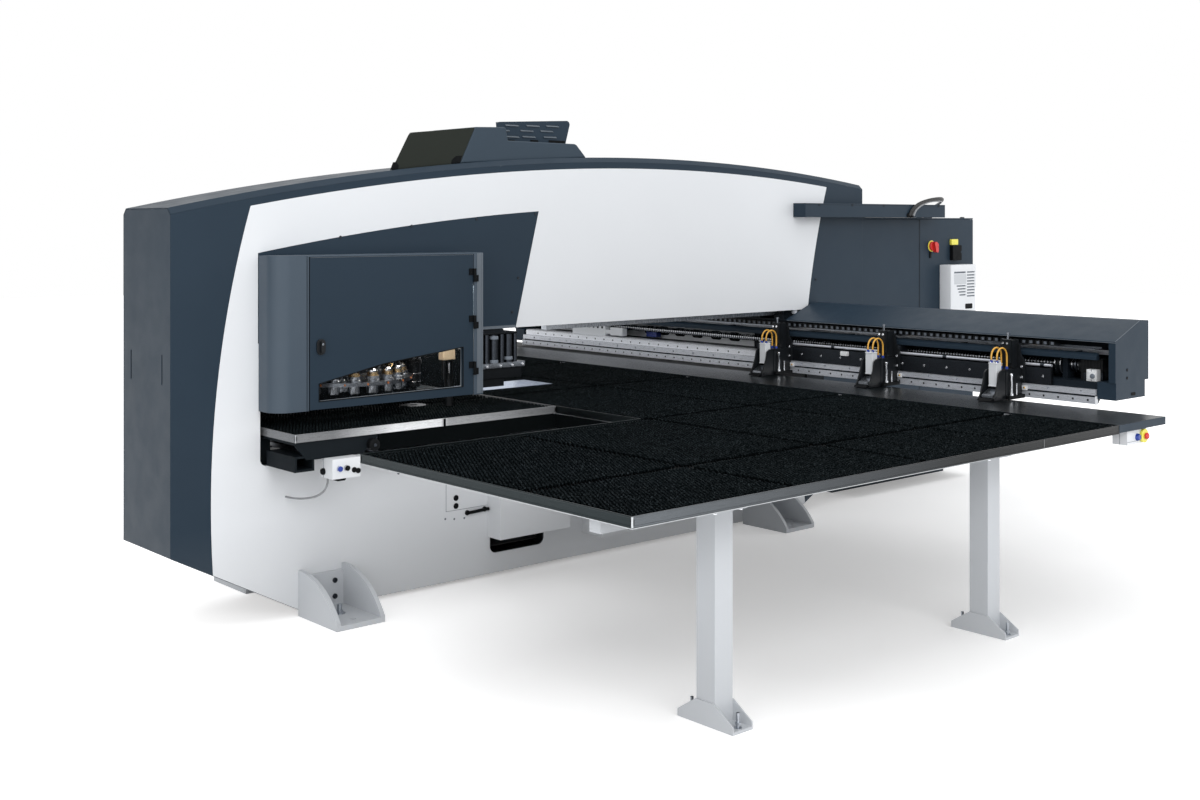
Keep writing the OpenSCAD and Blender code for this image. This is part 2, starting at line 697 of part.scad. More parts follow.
// Trim of the table that lies round the die
module head_trim() {
  x0 = throat_x0 + 19;
  y = head_table_reach;
  difference() {
    slab(x0, step_x - 2, -y, y, mat_z, table_z);
    slab(x0 + trim_t, step_x - 2 - trim_t, -y + trim_t, y - trim_t, mat_z - 1, table_z + 1);
  }
}
module table_trims() color(bright) {
  near_trim();
  far_trim();
  head_trim();
}

// Brush panels, four across, with a joint between neighbours
mat_gap = 2;
mat_cols = 4;
module mat_row(x0, x1, cols, y0, y1) {
  w = (x1 - x0) / cols;
  for (i = [0:cols - 1])
    slab(x0 + i * w + mat_gap / 2, x0 + (i + 1) * w - mat_gap / 2, y0 + mat_gap / 2, y1 - mat_gap / 2,
      mat_z, table_z - 1);
}
module table_mats() color(ink) {
  x0 = table_x0 + trim_t;
  x2 = step_x + trim_t;
  x1 = table_x1 - side_w;
  y_mid = -(table_reach + step_y) / 2;
  y_in = -step_y - trim_t;
  mat_row(x0, x1, mat_cols, -table_reach + trim_t, y_mid);
  mat_row(x0, x1, mat_cols, y_mid, y_in);
  mat_row(x2, x1, mat_cols / 2, y_in, 0);
  mirror([0, 1, 0]) {
    mat_row(x2, x1, mat_cols / 2, -table_reach + trim_t, y_mid);
    mat_row(x2, x1, mat_cols / 2, y_mid, y_in);
    mat_row(x2, x1, mat_cols / 2, y_in, 0);
  }
  difference() {
    union() for (s = [-1, 1]) mat_row(throat_x0 + 19 + trim_t, step_x - 2 - trim_t, 2,
      s < 0 ? -head_table_reach + trim_t : 0, s < 0 ? 0 : head_table_reach - trim_t);
    post(ram_x, 0, die_r + 12, mat_z - 1, table_z);
  }
}
// Board under the brushes round the die, on posts, with a console plate and a channel at its near edge
console_y = -head_table_reach + trim_t;
console_z = 822;
console_t = 15;
channel_w = 103;
channel_t = 10;
module head_table() color(slate) difference() {
  x0 = throat_x0 + 19 + trim_t;
  union() {
    slab(x0, step_x - 2 - trim_t, -head_table_reach + trim_t, head_table_reach - trim_t,
      mat_z - board_t, mat_z - seat);
    for (x = [x0 + 10, ram_x + 110, step_x - 80], y = [-205, 145])
      slab(x, x + 50, y, y + tube_s, floor_z + seat, mat_z - board_t + 1);
    upright(console_y, console_y + console_t) polygon([[x0 - 5, mat_z - board_t + 1],
      [x0 + 55, console_z + seat], [x0 + 365, console_z + seat], [x0 + 445, mat_z - board_t + 1]]);
    difference() {
      slab(x0 - 5, x0 - 5 + channel_w, console_y + 2, -half_d - 20, floor_z + channel_t, console_z + 20);
      slab(x0 - 5 + channel_t, x0 - 5 + channel_w - channel_t, console_y, -half_d - 20 - channel_t,
        floor_z + 2 * channel_t, console_z + 20 - channel_t);
    }
  }
  post(ram_x, 0, die_r + 12, mat_z - 20, mat_z + 1);
}

// Steel strip beside the brush panels, with a turned-down near end
module side_plates() color([0.35, 0.37, 0.4]) both_sides() difference() {
  union() {
    slab(table_x1 - side_w + seat, table_x1, -table_reach, -1, table_z - 8, table_z);
    slab(table_x1 - side_w + seat, table_x1, -table_reach, -table_reach + 8, mat_z, table_z);
    slab(table_x1 - 8, table_x1, -table_reach, -1, mat_z, table_z);
    slab(table_x1 - side_w / 2, table_x1 - side_w / 2 + 30, -table_reach, -1, mat_z, table_z - 8);
  }
  for (i = [0:13], x = [table_x1 - 430, table_x1 - 200])
    post(x, -table_reach + 90 + 200 * i, 6, table_z - 9, table_z + 1);
}

// Leg with a U-shaped foot
module leg(x, y) translate([x, y, 0]) difference() {
  union() {
    slab(-leg_w / 2, leg_w / 2, -leg_w / 2, leg_w / 2, 12, frame_z0 - seat);
    slab(-90, 90, -90, 90, frame_z0 - 12, frame_z0 - seat);
    slab(-leg_w / 2 - 6, leg_w / 2 + 6, -leg_foot_l / 2, leg_foot_l / 2, 0, 12);
    for (s = [-1, 1]) crosswise(s * (leg_w / 2 + 3) - 3, s * (leg_w / 2 + 3) + 3)
      polygon([[-leg_foot_l / 2, 0], [leg_foot_l / 2, 0], [leg_foot_l / 2, 30],
        [leg_w / 2, leg_foot_h], [-leg_w / 2, leg_foot_h], [-leg_foot_l / 2, 30]]);
  }
  slab(-leg_w / 2 + 5, leg_w / 2 - 5, -leg_w / 2 + 5, leg_w / 2 - 5, 30, frame_z0 - 30);
  for (s = [-1, 1]) post(0, s * (leg_foot_l / 2 - leg_screw_in), 7.3, -1, 13);
}
module table_legs() color(grey) for (p = leg_spots) leg(p[0], p[1]);

// Boxes on the front skin: sloped scrap chute and service box
module skin_boxes() color(pale) {
  difference() {
    crosswise(scrap_x0 - 17, scrap_x0 + scrap_w + 100) polygon([[-half_d - skin_t, 220],
      [-half_d - 119, 220], [-half_d - 119, 560], [-half_d - skin_t, 640]]);
    crosswise(scrap_x0 - 14, scrap_x0 + scrap_w + 97) polygon([[-half_d + 1, 210],
      [-half_d - 116, 210], [-half_d - 116, 558], [-half_d + 1, 636]]);
  }
  slab(111, 611, -half_d - 176, -half_d - skin_t, 143, 430);
}

// Rails under the throat roof
module carriage_rails() color(bright) both_sides()
  slab(beam_x1 - saddle_l - beam_travel - 45, throat_x1 - 10, rail_y - rail_w / 2, rail_y + rail_w / 2,
    rail_z0, rail_z0 + rail_h);

// Beam with its saddle and the two bearings of the screw
module beam_section() difference() {
  union() {
    translate([guide_x, beam_z0]) square([beam_x1 - 5 - guide_x, 75]);
    translate([beam_x1 - 105, beam_z0 + 70]) square([100, beam_z1 - beam_z0 - 70]);
    translate([beam_x1 - 195, beam_z1 - 55]) square([100, 25]);
  }
  translate([guide_x + 12, beam_z0 + 12]) square([beam_x1 - 29 - guide_x, 51]);
  translate([beam_x1 - 93, beam_z0 + 87]) square([76, beam_z1 - beam_z0 - 99]);
}
module beam() color(grey) difference() {
  union() {
    upright(-beam_y + end_l, beam_y - end_l) beam_section();
    slab(beam_x1 - saddle_l, beam_x1 - 5, -210, 210, beam_z1 - 1, beam_z1 + 26);
    for (x = [beam_x1 - saddle_l, beam_x1 - 85]) both_sides()
      slab(x, x + 80, rail_y - 45, rail_y + 45, beam_z1 + 25, rail_z0 + 25);
    for (y = [-beam_y + 340, beam_y - 144])
      slab(screw_x - 40, screw_x + 40, y, y + 30, beam_z0 + 74, screw_z + 40);
  }
  both_sides() slab(beam_x1 - saddle_l - 1, beam_x1, rail_y - rail_w / 2 - 0.6, rail_y + rail_w / 2 + 0.6,
    rail_z0 - 0.6, rail_z0 + rail_h);
  bar_along_y(screw_x, screw_z, journal_r + play, -beam_y + 339, -beam_y + 371);
  bar_along_y(screw_x, screw_z, journal_r + play, beam_y - 145, beam_y - 113);
}

// Slanted covers over the beam on both sides of the frame, with end caps
module beam_cover() {
  cap = 6;
  upright(-beam_y, -half_d - 20) polygon([[beam_x0, hood_z - 4], [beam_x0, hood_z],
    [beam_x0 + 266, hood_top_z], [beam_x1, hood_top_z], [beam_x1, beam_z0 + 78],
    [beam_x1 - 4, beam_z0 + 78], [beam_x1 - 4, hood_top_z - 4], [beam_x0 + 267, hood_top_z - 4]]);
  upright(-beam_y, -beam_y + cap) polygon([[beam_x0, beam_z0 + 78], [beam_x0, hood_z],
    [beam_x0 + 266, hood_top_z], [beam_x1, hood_top_z], [beam_x1, beam_z0 + 78]]);
  slab(beam_x0, beam_x0 + cap, -beam_y, -beam_y + 40, beam_z0 + 78, hood_z);
  slab(beam_x0 + 6, beam_x1 - 40, -beam_y, -beam_y + end_l - seat, beam_z0 - 15, beam_z0 + 79);
}
module beam_covers() color(slate) both_sides() beam_cover();

module beam_rails() color(bright) {
  difference() {
    slab(guide_x - 22, guide_x - seat, -beam_y + end_l + 5, beam_y - end_l - 5, guide_z0,
      guide_z0 + guide_h);
    for (i = [0:24]) translate([guide_x - 23, -beam_y + 200 + 200 * i, guide_z0 + guide_h / 2])
      rotate([0, 90, 0]) cylinder(r = 7, h = 14, $fn = 24);
  }
  slab(beam_x1 - 213, beam_x1 - 195 - seat, -beam_y + end_l + 5, beam_y - end_l - 5, beam_z1 - 55,
    beam_z1 - 30);
}

motor_y = -beam_y + end_l + 10;
module beam_motor() color(ink) {
  slab(screw_x - 55, screw_x + 55, motor_y, motor_y + 130, beam_z0 + 75 + seat, screw_z + 45);
  bar_along_y(screw_x, screw_z, 50, motor_y + 129, motor_y + 150);
}
module beam_screw() color(bright) {
  bar_along_y(screw_x, screw_z, screw_r, -beam_y + 375, beam_y - 150);
  bar_along_y(screw_x, screw_z, journal_r, -beam_y + 300, -beam_y + 376);
  bar_along_y(screw_x, screw_z, journal_r, beam_y - 151, beam_y - 115);
  bar_along_y(screw_x, screw_z, 32, motor_y + 152, -beam_y + 330);
}

// Bar that joins the clamps, with the nut on the screw
nut_y = bar_y0 + bar_l / 2;
module clamp_bar() color([0.45, 0.47, 0.5]) difference() {
  union() {
    slab(guide_x - 28, guide_x - 4, bar_y0, bar_y0 + bar_l, guide_z0 + guide_h + 4, table_z + 180);
    slab(guide_x - 5, screw_x + 38, nut_y - 40, nut_y + 40, beam_z0 + 105, screw_z + 38);
  }
  bar_along_y(screw_x, screw_z, screw_r + play, nut_y - 41, nut_y + 41);
}

// Clamp: block with a rail shoe, lower jaw, cheeks with the jaw pin and a rear bracket
module clamp_body(y) translate([0, y, 0]) {
  slab(clamp_front, clamp_back, -55, 55, table_z + 16, table_z + 170);
  slab(beam_x0 - 284, clamp_back, -50, 50, table_z + 3, table_z + 16);
  slab(beam_x0 - 74, clamp_back, -30, 30, table_z + 169, table_z + 330);
  difference() {
    slab(clamp_back - 10, guide_x - 5, -55, 55, beam_z0 - 4, guide_z0 + guide_h + 4 - seat);
    slab(guide_x - 22.6, guide_x, -56, 56, guide_z0 - 0.6, guide_z0 + guide_h + 0.6);
  }
  for (s = [-1, 1]) slab(jaw_x - 20, clamp_front + 1, s * 43 - 7, s * 43 + 7, table_z + 15, table_z + 80);
  bar_along_y(jaw_x, jaw_z, jaw_pin_r, -40, 40);
}
module clamp_bodies() color(ink) for (y = clamp_ys) clamp_body(y);

module clamp_jaw(y) color(steel) translate([0, y, 0]) difference() {
  upright(-35, 35) polygon([[jaw_x - 95, table_z + 19], [jaw_x - 30, table_z + 19],
    [jaw_x + 4, jaw_z - 12], [jaw_x + 4, jaw_z + 10], [jaw_x - 30, jaw_z + 14],
    [jaw_x - 95, table_z + 32]]);
  bar_along_y(jaw_x, jaw_z, jaw_pin_r + play, -36, 36);
}
module clamp_jaw_1() clamp_jaw(clamp_ys[0]);
module clamp_jaw_2() clamp_jaw(clamp_ys[1]);
module clamp_jaw_3() clamp_jaw(clamp_ys[2]);

hose_x = clamp_front - 35;
module clamp_cylinders() color(pale) for (y = clamp_ys)
  slab(clamp_front - 62, clamp_front - seat, y - 34, y + 34, table_z + 92, table_z + 210);
module clamp_hoses() color([0.85, 0.66, 0.25]) for (y = clamp_ys, s = [-18, 18])
  translate([0, y + s, 0]) {
    translate([hose_x + 50, 0, table_z + 240]) rotate([90, 0, 0])
      rotate_extrude(angle = 180, $fn = 64) translate([50, 0]) circle(r = 5, $fn = 24);
    post(hose_x, 0, 5, table_z + 210 + seat, table_z + 240);
    post(hose_x + 100, 0, 5, table_z + 170 + seat, table_z + 240);
  }

// Control cabinet with two doors hung on pins
module cabinet() color(slate) {
  difference() {
    slab(cab_x0, cab_x1, cab_y + cab_t + 4, cab_y + cabinet_d, 100, cabinet_h);
    slab(cab_x0 + 3, cab_x1 - 3, cab_y, cab_y + cabinet_d - 3, 103, cabinet_h - 3);
  }
  slab(cab_x0, cab_x1, cab_y, cab_y + cabinet_d, 0, 100);
  slab(cab_x0, cab_x1, cab_y, cab_y + cab_t + 5, cabinet_h - cab_lip, cabinet_h);
  for (x = [cab_x0 + cab_pin_in, cab_x1 - cab_pin_in]) {
    post(x, cab_y + cab_pin_in, 5, 99, cab_door_z0 + 20);
    post(x, cab_y + cab_pin_in, 5, cab_door_z1 - 20, cabinet_h - cab_lip + 1);
  }
}
module cabinet_door(x0, x1, pin_x) difference() {
  slab(x0, x1, cab_y, cab_y + cab_t, cab_door_z0, cab_door_z1);
  post(pin_x, cab_y + cab_pin_in, 5 + play, cab_door_z0 - 1, cab_door_z0 + 22);
  post(pin_x, cab_y + cab_pin_in, 5 + play, cab_door_z1 - 22, cab_door_z1 + 1);
}
module cabinet_door_left() color(slate) cabinet_door(cab_x0, cab_mid - 2, cab_x0 + cab_pin_in);
module cabinet_door_right() color(slate) difference() {
  cabinet_door(cab_mid + 2, cab_x1, cab_x1 - cab_pin_in);
  bar_along_y(switch_x, switch_z, 8 + play, cab_y - 1, cab_y + cab_t + 1);
}
module main_switch() color([0.85, 0.1, 0.1]) {
  bar_along_y(switch_x, switch_z, 8, cab_y - 10, cab_y + cab_t + 10);
  bar_along_y(switch_x, switch_z, 30, cab_y - 26, cab_y - 6 - seat);
  slab(switch_x - 9, switch_x + 9, cab_y - 48, cab_y - 25, switch_z - 42, switch_z + 42);
}
module cabinet_fittings() color([0.9, 0.82, 0.25]) {
  difference() {
    bar_along_y(switch_x, switch_z, 42, cab_y - 6, cab_y - seat);
    bar_along_y(switch_x, switch_z, 9, cab_y - 7, cab_y);
  }
  slab(cab_mid + 375, cab_mid + 490, cab_y - 45, cab_y - seat, 1776, 1821);
  slab(cab_mid + 375, cab_mid + 490, cab_y - 55, cab_y - seat, 1660, 1775);
}
module air_conditioner() color(pale) difference() {
  slab(cab_mid + 241, cab_mid + 564, cab_y - 106, cab_y - seat, 900, 1630);
  for (i = [0:8]) slab(cab_mid + 270, cab_mid + 390, cab_y - 107, cab_y - 100, 1430 + 18 * i, 1438 + 18 * i);
  for (i = [0:8]) slab(cab_mid + 410, cab_mid + 530, cab_y - 107, cab_y - 100, 1430 + 18 * i, 1438 + 18 * i);
}

duct_x0 = throat_x1 - 322;
duct_x1 = cab_mid + 130;
duct_z0 = 1983;
duct_z1 = 2076;
module cable_duct() color(slate) difference() {
  slab(duct_x0, duct_x1, -half_d - 110, -half_d - skin_t - seat, duct_z0, duct_z1);
  slab(duct_x0 + 3, duct_x1 + 1, -half_d - 107, -half_d - skin_t - seat - 3, duct_z0 + 3, duct_z1 - 3);
}
box_x = throat_x0 + 183;
module control_cables() color(ink) {
  for (i = [0:2]) tube([
    [duct_x1 - 400 - 24 * i, -half_d - 120, duct_z0 + 12],
    [duct_x1 - 370 - 24 * i, -half_d - 121, duct_z0 + 55],
    [duct_x1 - 300 - 22 * i, -half_d - 122 - 2 * i, duct_z0 + 92 + 4 * i],
    [duct_x1 - 200 - 14 * i, -half_d - 122 - 6 * i, duct_z1 + 24 + 6 * i],
    [duct_x1 - 90 - 4 * i, -half_d - 118 - 8 * i, duct_z1 + 30 + 9 * i],
    [duct_x1 - 8 + 6 * i, -half_d - 78 - 4 * i, duct_z1 + 20 + 9 * i],
    [duct_x1 + 40 + 18 * i, -half_d - 2, duct_z0 + 92 + 5 * i],
    [duct_x1 + 56 + 25 * i, -half_d + 64, duct_z0 + 52 + 2 * i],
    [duct_x1 + 58 + 26 * i, -half_d + 100, cabinet_h + 6]], 9, [0.3, -0.85, -0.4]);
  // Cable of the left control box, into the skin
  tube([[box_x + 20, -half_d - 290, 726], [box_x + 20, -half_d - 288, 694],
    [box_x + 13, -half_d - 262, 654], [box_x - 2, -half_d - 208, 624],
    [box_x - 22, -half_d - 130, 606], [box_x - 38, -half_d - 60, 600],
    [box_x - 46, -half_d - 4, 600]], 5, [1, 0.1, 0.1]);
}

stem_r = 6;
button_travel = 4;
button_z = 775;
box_y = -half_d - 370;
stop_x = table_x1 - 197;
stop_z = mat_z - 40;
stop_stem_r = 8;
module control_boxes() color(grey) difference() {
  union() {
    // Left box, hung under the console of the head table
    slab(box_x, box_x + 153, box_y, box_y + 103, console_z - 95, console_z);
    // Right box under the near corner of the table
    slab(table_x1 - 353, table_x1 - 162, -table_reach + 20, -table_reach + 100, mat_z - 76,
      mat_z - seat);
    bar_along_y(stop_x, stop_z, 30, -table_reach + 14, -table_reach + 21);
  }
  for (x = [box_x + 38, box_x + 78])
    bar_along_y(x, button_z, stem_r + play, box_y - 1, box_y + 24);
  bar_along_y(stop_x, stop_z, stop_stem_r + play, -table_reach + 13, -table_reach + 50);
}
module push_button(x) {
  bar_along_y(x, button_z, 13, box_y - 12, box_y - button_travel - 1);
  bar_along_y(x, button_z, stem_r, box_y - button_travel - 2, box_y + 16);
}
module start_button() color([0.1, 0.2, 0.6]) push_button(box_x + 38);
module stop_button() color(ink) push_button(box_x + 78);
module emergency_button() color([0.8, 0.1, 0.1]) {
  bar_along_y(stop_x, stop_z, 20, -table_reach - 12, -table_reach + 5);
  bar_along_y(stop_x, stop_z, stop_stem_r, -table_reach + 4, -table_reach + 35);
}

bridge_frame();
frame_casings();
top_cover();
end_panels();
frame_skins();
anchor_feet();
levelling_screws();
hood_base();
fan_hood();
vent_hood();
drive_motors();
head_backing();
head_covers();
head_casting();
carousel_posts();
hinge_brackets();
head_door();
door_window();
hinge_leaves();
door_lock();
punch_ram();
ram_chuck();
active_punch();
ram_cylinder();
tool_carousel();
tool_holders();
die_carousel();
die_block();
table_frames();
table_trims();
table_mats();
side_plates();
table_legs();
head_table();
skin_boxes();
carriage_rails();
beam();
beam_covers();
beam_rails();
beam_motor();
beam_screw();
clamp_bar();
clamp_bodies();
clamp_jaw_1();
clamp_jaw_2();
clamp_jaw_3();
clamp_cylinders();
clamp_hoses();
cabinet();
cabinet_door_left();
cabinet_door_right();
main_switch();
air_conditioner();
cabinet_fittings();
cable_duct();
control_cables();
control_boxes();
start_button();
stop_button();
emergency_button();
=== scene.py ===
import json
import math
import random

import bpy
from mathutils import Matrix, Vector

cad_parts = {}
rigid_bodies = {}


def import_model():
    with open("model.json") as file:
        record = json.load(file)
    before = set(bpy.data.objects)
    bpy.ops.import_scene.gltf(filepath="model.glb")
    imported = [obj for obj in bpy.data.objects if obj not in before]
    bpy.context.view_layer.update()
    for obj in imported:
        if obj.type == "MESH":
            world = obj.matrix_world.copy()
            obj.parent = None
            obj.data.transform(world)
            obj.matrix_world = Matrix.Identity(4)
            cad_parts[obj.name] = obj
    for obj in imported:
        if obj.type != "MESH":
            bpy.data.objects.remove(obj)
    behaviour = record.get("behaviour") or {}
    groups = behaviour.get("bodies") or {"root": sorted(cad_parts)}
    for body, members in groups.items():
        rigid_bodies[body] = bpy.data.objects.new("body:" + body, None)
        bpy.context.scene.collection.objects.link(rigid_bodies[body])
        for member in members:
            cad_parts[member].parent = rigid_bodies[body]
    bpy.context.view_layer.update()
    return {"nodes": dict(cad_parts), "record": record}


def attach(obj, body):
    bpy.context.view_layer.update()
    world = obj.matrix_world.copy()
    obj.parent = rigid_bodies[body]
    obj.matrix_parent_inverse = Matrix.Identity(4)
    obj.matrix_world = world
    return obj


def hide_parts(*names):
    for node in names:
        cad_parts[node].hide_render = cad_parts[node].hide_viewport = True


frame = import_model()
ops = bpy.ops
random.seed(7)

# Main places, in metres
SKIN = -0.273           # face of the white skin
COVER = -0.439          # face of the head cover
ARCH_TOP, ARCH_MID, ARCH_R = 2.338, 0.723, 15.4     # crown, its X and the radius of the arch
MAT, BOARD_TOP = 0.910, 0.9315                      # foot and top of the brush boards
REACH = 2.975           # table edge from the middle of the frame
LEFT, STEP, PLATE = -1.986, -0.341, 1.272   # table edge, its step, and the steel strip beside it
STEP_Y = -1.244         # edge of the step
LEGS = ((-1.264, -2.665), (0.582, -2.665), (-0.251, 2.665), (1.159, 2.665))
RAM = (-0.880, 0.0)
CAROUSEL, STATIONS, STATION_R = (-1.345, 0.0), 20, 0.320
STATION_TURN = 2 * math.pi / STATIONS
HOOD_SLANT = 0.78       # how far the end of a hood leans to +X for each metre to the back
CLAMPS = (-2.013, -1.149, -0.285)
SCREW_X, SCREW_Z = 2.010, 1.150             # axis of the ball screw


def arch(x, depth=0.0):
    """Height of the arched top at x."""
    return ARCH_TOP - ARCH_R + math.sqrt((ARCH_R - depth) ** 2 - (x - ARCH_MID) ** 2)


# ---------------------------------------------------------------- finishes

def tone(red, green, blue):
    """Linear colour from the eye's 0 to 255 scale."""
    return tuple(((c / 255 + 0.055) / 1.055) ** 2.4 for c in (red, green, blue)) + (1.0,)


def new_finish(name):
    finish = bpy.data.materials.new(name)
    finish.use_nodes = True
    tree = finish.node_tree
    return finish, tree, tree.nodes["Principled BSDF"]


def node(tree, kind, **settings):
    made = tree.nodes.new(kind)
    for key, value in settings.items():
        setattr(made, key, value)
    return made


def grain(tree, scale, detail=3.0, stretch=(1, 1, 1)):
    """Noise that lies in the piece, pulled out along an axis by stretch."""
    place = node(tree, "ShaderNodeTexCoord")
    spread = node(tree, "ShaderNodeMapping")
    spread.inputs["Scale"].default_value = stretch
    noise = node(tree, "ShaderNodeTexNoise")
    noise.inputs["Scale"].default_value = scale
    noise.inputs["Detail"].default_value = detail
    noise.inputs["Roughness"].default_value = 0.55
    tree.links.new(place.outputs["Object"], spread.inputs["Vector"])
    tree.links.new(spread.outputs["Vector"], noise.inputs["Vector"])
    return noise.outputs["Fac"]


def between(tree, factor, low, high, start=0.3, end=0.7):
    """Colour that runs from low to high with a noise factor."""
    ramp = node(tree, "ShaderNodeValToRGB")
    ramp.color_ramp.elements[0].position = start
    ramp.color_ramp.elements[1].position = end
    ramp.color_ramp.elements[0].color = low
    ramp.color_ramp.elements[1].color = high
    tree.links.new(factor, ramp.inputs["Fac"])
    return ramp.outputs["Color"]


def level(tree, factor, low, high, start=0.3, end=0.7):
    remap = node(tree, "ShaderNodeMapRange")
    remap.inputs["From Min"].default_value = start
    remap.inputs["From Max"].default_value = end
    remap.inputs["To Min"].default_value = low
    remap.inputs["To Max"].default_value = high
    tree.links.new(factor, remap.inputs["Value"])
    return remap.outputs["Result"]


def relief(tree, shader, height, depth, strength):
    bump = node(tree, "ShaderNodeBump")
    bump.inputs["Distance"].default_value = depth
    bump.inputs["Strength"].default_value = strength
    tree.links.new(height, bump.inputs["Height"])
    tree.links.new(bump.outputs["Normal"], shader.inputs["Normal"])


def shade(colour, share):
    """Linear colour from the eye's scale, made darker or lighter."""
    return tuple(min(1.0, c * share) for c in tone(*colour)[:3]) + (1.0,)


def blend_colours(tree, factor, first, second):
    mix = node(tree, "ShaderNodeMix", data_type="RGBA")
    tree.links.new(factor, mix.inputs["Factor"])
    for socket, colour in ((mix.inputs[6], first), (mix.inputs[7], second)):
        if isinstance(colour, tuple):
            socket.default_value = colour
        else:
            tree.links.new(colour, socket)
    return mix.outputs[2]


def run_along(tree, axis, low, high, start, end):
    """Factor that runs from low at the start to high at the end along an axis."""
    place = node(tree, "ShaderNodeTexCoord")
    axes = node(tree, "ShaderNodeSeparateXYZ")
    tree.links.new(place.outputs["Object"], axes.inputs["Vector"])
    return level(tree, axes.outputs[axis], low, high, start, end)


def dress(tree, shader, colour, rough, metallic=0.0, shine=0.5):
    """Gives the shader its colour, roughness and plain levels."""
    tree.links.new(colour, shader.inputs["Base Color"])
    if isinstance(rough, float):
        shader.inputs["Roughness"].default_value = rough
    else:
        tree.links.new(rough, shader.inputs["Roughness"])
    shader.inputs["Metallic"].default_value = metallic
    shader.inputs["Specular IOR Level"].default_value = shine


def paint(name, colour, gloss, dust_and_shade=0.10, variation=0.05, shine=0.5):
    """Powder coat: slight patches, orange peel, and a grey towards the floor that is dust on dark coats and
    partly painted shade on pale ones.
    """
    finish, tree, shader = new_finish(name)
    patches = grain(tree, 1.4, 4)
    coat = between(tree, patches, shade(colour, 1 - variation), shade(colour, 1 + variation))
    # Grey towards the floor: dust, and on pale coats partly painted shade
    coat = blend_colours(tree, run_along(tree, "Z", dust_and_shade, 0.0, 0.0, 0.5), coat, tone(140, 139, 136))
    dress(tree, shader, coat, level(tree, grain(tree, 9, 5), gloss - 0.04, gloss + 0.07), shine=shine)
    relief(tree, shader, grain(tree, 420, 2), 0.00022, 0.5)
    return finish


def metal(name, colour, gloss, along, variation=0.12, share=1.0, shade_span=None):
    """Brushed metal with its lines along one axis; a given span along X gets painted shade that darkens it
    between its two places.
    """
    finish, tree, shader = new_finish(name)
    lines = grain(tree, 14, 5, along)
    surface = between(tree, lines, shade(colour, 1 - variation), shade(colour, 1 + variation))
    if shade_span:
        surface = blend_colours(tree, run_along(tree, "X", 0.0, 0.88, *shade_span), surface, tone(20, 20, 19))
    rough = level(tree, grain(tree, 23.8, 4, along), gloss - 0.07, gloss + 0.12)
    dress(tree, shader, surface, rough, share)
    relief(tree, shader, lines, 0.00012, 0.6)
    return finish


def trim_with_painted_reflection(name):
    """Steel strip of the head table: dull at the ends, with a painted reflection that makes it bright in
    the middle.
    """
    finish, tree, shader = new_finish(name)
    ramp = node(tree, "ShaderNodeValToRGB")
    tree.links.new(run_along(tree, "X", 0.0, 1.0, -1.95, -0.35), ramp.inputs["Fac"])
    # Painted reflection: the near-white stretch in the middle
    stops = ((0.0, 128), (0.14, 118), (0.30, 205), (0.36, 246),
             (0.53, 246), (0.56, 165), (0.80, 150), (1.0, 116))
    while len(ramp.color_ramp.elements) < len(stops):
        ramp.color_ramp.elements.new(0.5)
    for element, (place_on, value) in zip(ramp.color_ramp.elements, stops):
        element.position = place_on
        element.color = tone(value, value + 1, value + 3)
    lines = grain(tree, 14, 5, (1, 40, 60))
    surface = blend_colours(tree, level(tree, lines, 0.0, 0.35), ramp.outputs["Color"], tone(90, 93, 96))
    dress(tree, shader, surface, level(tree, grain(tree, 24, 4, (1, 40, 60)), 0.22, 0.38), 0.35)
    relief(tree, shader, lines, 0.0001, 0.6)
    return finish


def plastic(name, colour, gloss, shine=0.5):
    finish, tree, shader = new_finish(name)
    moulded = between(tree, grain(tree, 30, 3), shade(colour, 0.92), shade(colour, 1.08))
    rough = level(tree, grain(tree, 45, 3), gloss - 0.05, gloss + 0.08)
    dress(tree, shader, moulded, rough, shine=shine)
    relief(tree, shader, grain(tree, 600, 2), 0.0002, 0.6)
    return finish


def bristle(name):
    """Black nylon tufts: painted shade makes them darker at the foot, and sparse painted highlights light
    the tips.
    """
    finish, tree, shader = new_finish(name)
    # Painted highlights on sparse tips
    tips = between(tree, grain(tree, 160, 2), tone(7, 13, 15), tone(96, 106, 110), 0.52, 0.80)
    worn = between(tree, grain(tree, 2.3, 4), tone(7, 13, 15), tone(19, 26, 29), 0.45, 0.80)
    both = blend_colours(tree, level(tree, grain(tree, 30, 2), 0.2, 0.8), tips, worn)
    # Painted shade towards the foot of the tufts
    whole = blend_colours(tree, run_along(tree, "Z", 0.0, 1.0, 0.934, 0.951), tone(3, 4, 5), both)
    dress(tree, shader, whole, 0.85, shine=0.02)
    relief(tree, shader, grain(tree, 1500, 2, (1, 1, 0.15)), 0.0008, 0.8)
    return finish


def window_glass(name):
    finish, tree, shader = new_finish(name)
    smear = between(tree, grain(tree, 12, 4), tone(14, 18, 21), tone(26, 30, 33))
    dress(tree, shader, smear, level(tree, grain(tree, 18, 4), 0.02, 0.09), shine=0.25)
    shader.inputs["Alpha"].default_value = 0.16
    shader.inputs["IOR"].default_value = 1.5
    return finish


def screw_thread(name):
    """Ball screw: rolled thread as rings along Y, whose light and dark bands are painted glints on the
    crests and painted shade in the grooves.
    """
    finish, tree, shader = new_finish(name)
    place = node(tree, "ShaderNodeTexCoord")
    wave = node(tree, "ShaderNodeTexWave", bands_direction="Y")
    wave.inputs["Scale"].default_value = 16
    wave.inputs["Distortion"].default_value = 0
    tree.links.new(place.outputs["Object"], wave.inputs["Vector"])
    # Painted glints and shade of the thread
    rings = between(tree, wave.outputs["Fac"], tone(70, 72, 76), tone(205, 208, 212))
    dress(tree, shader, rings, level(tree, grain(tree, 40, 3), 0.18, 0.32), 1.0)
    relief(tree, shader, wave.outputs["Fac"], 0.002, 0.9)
    return finish


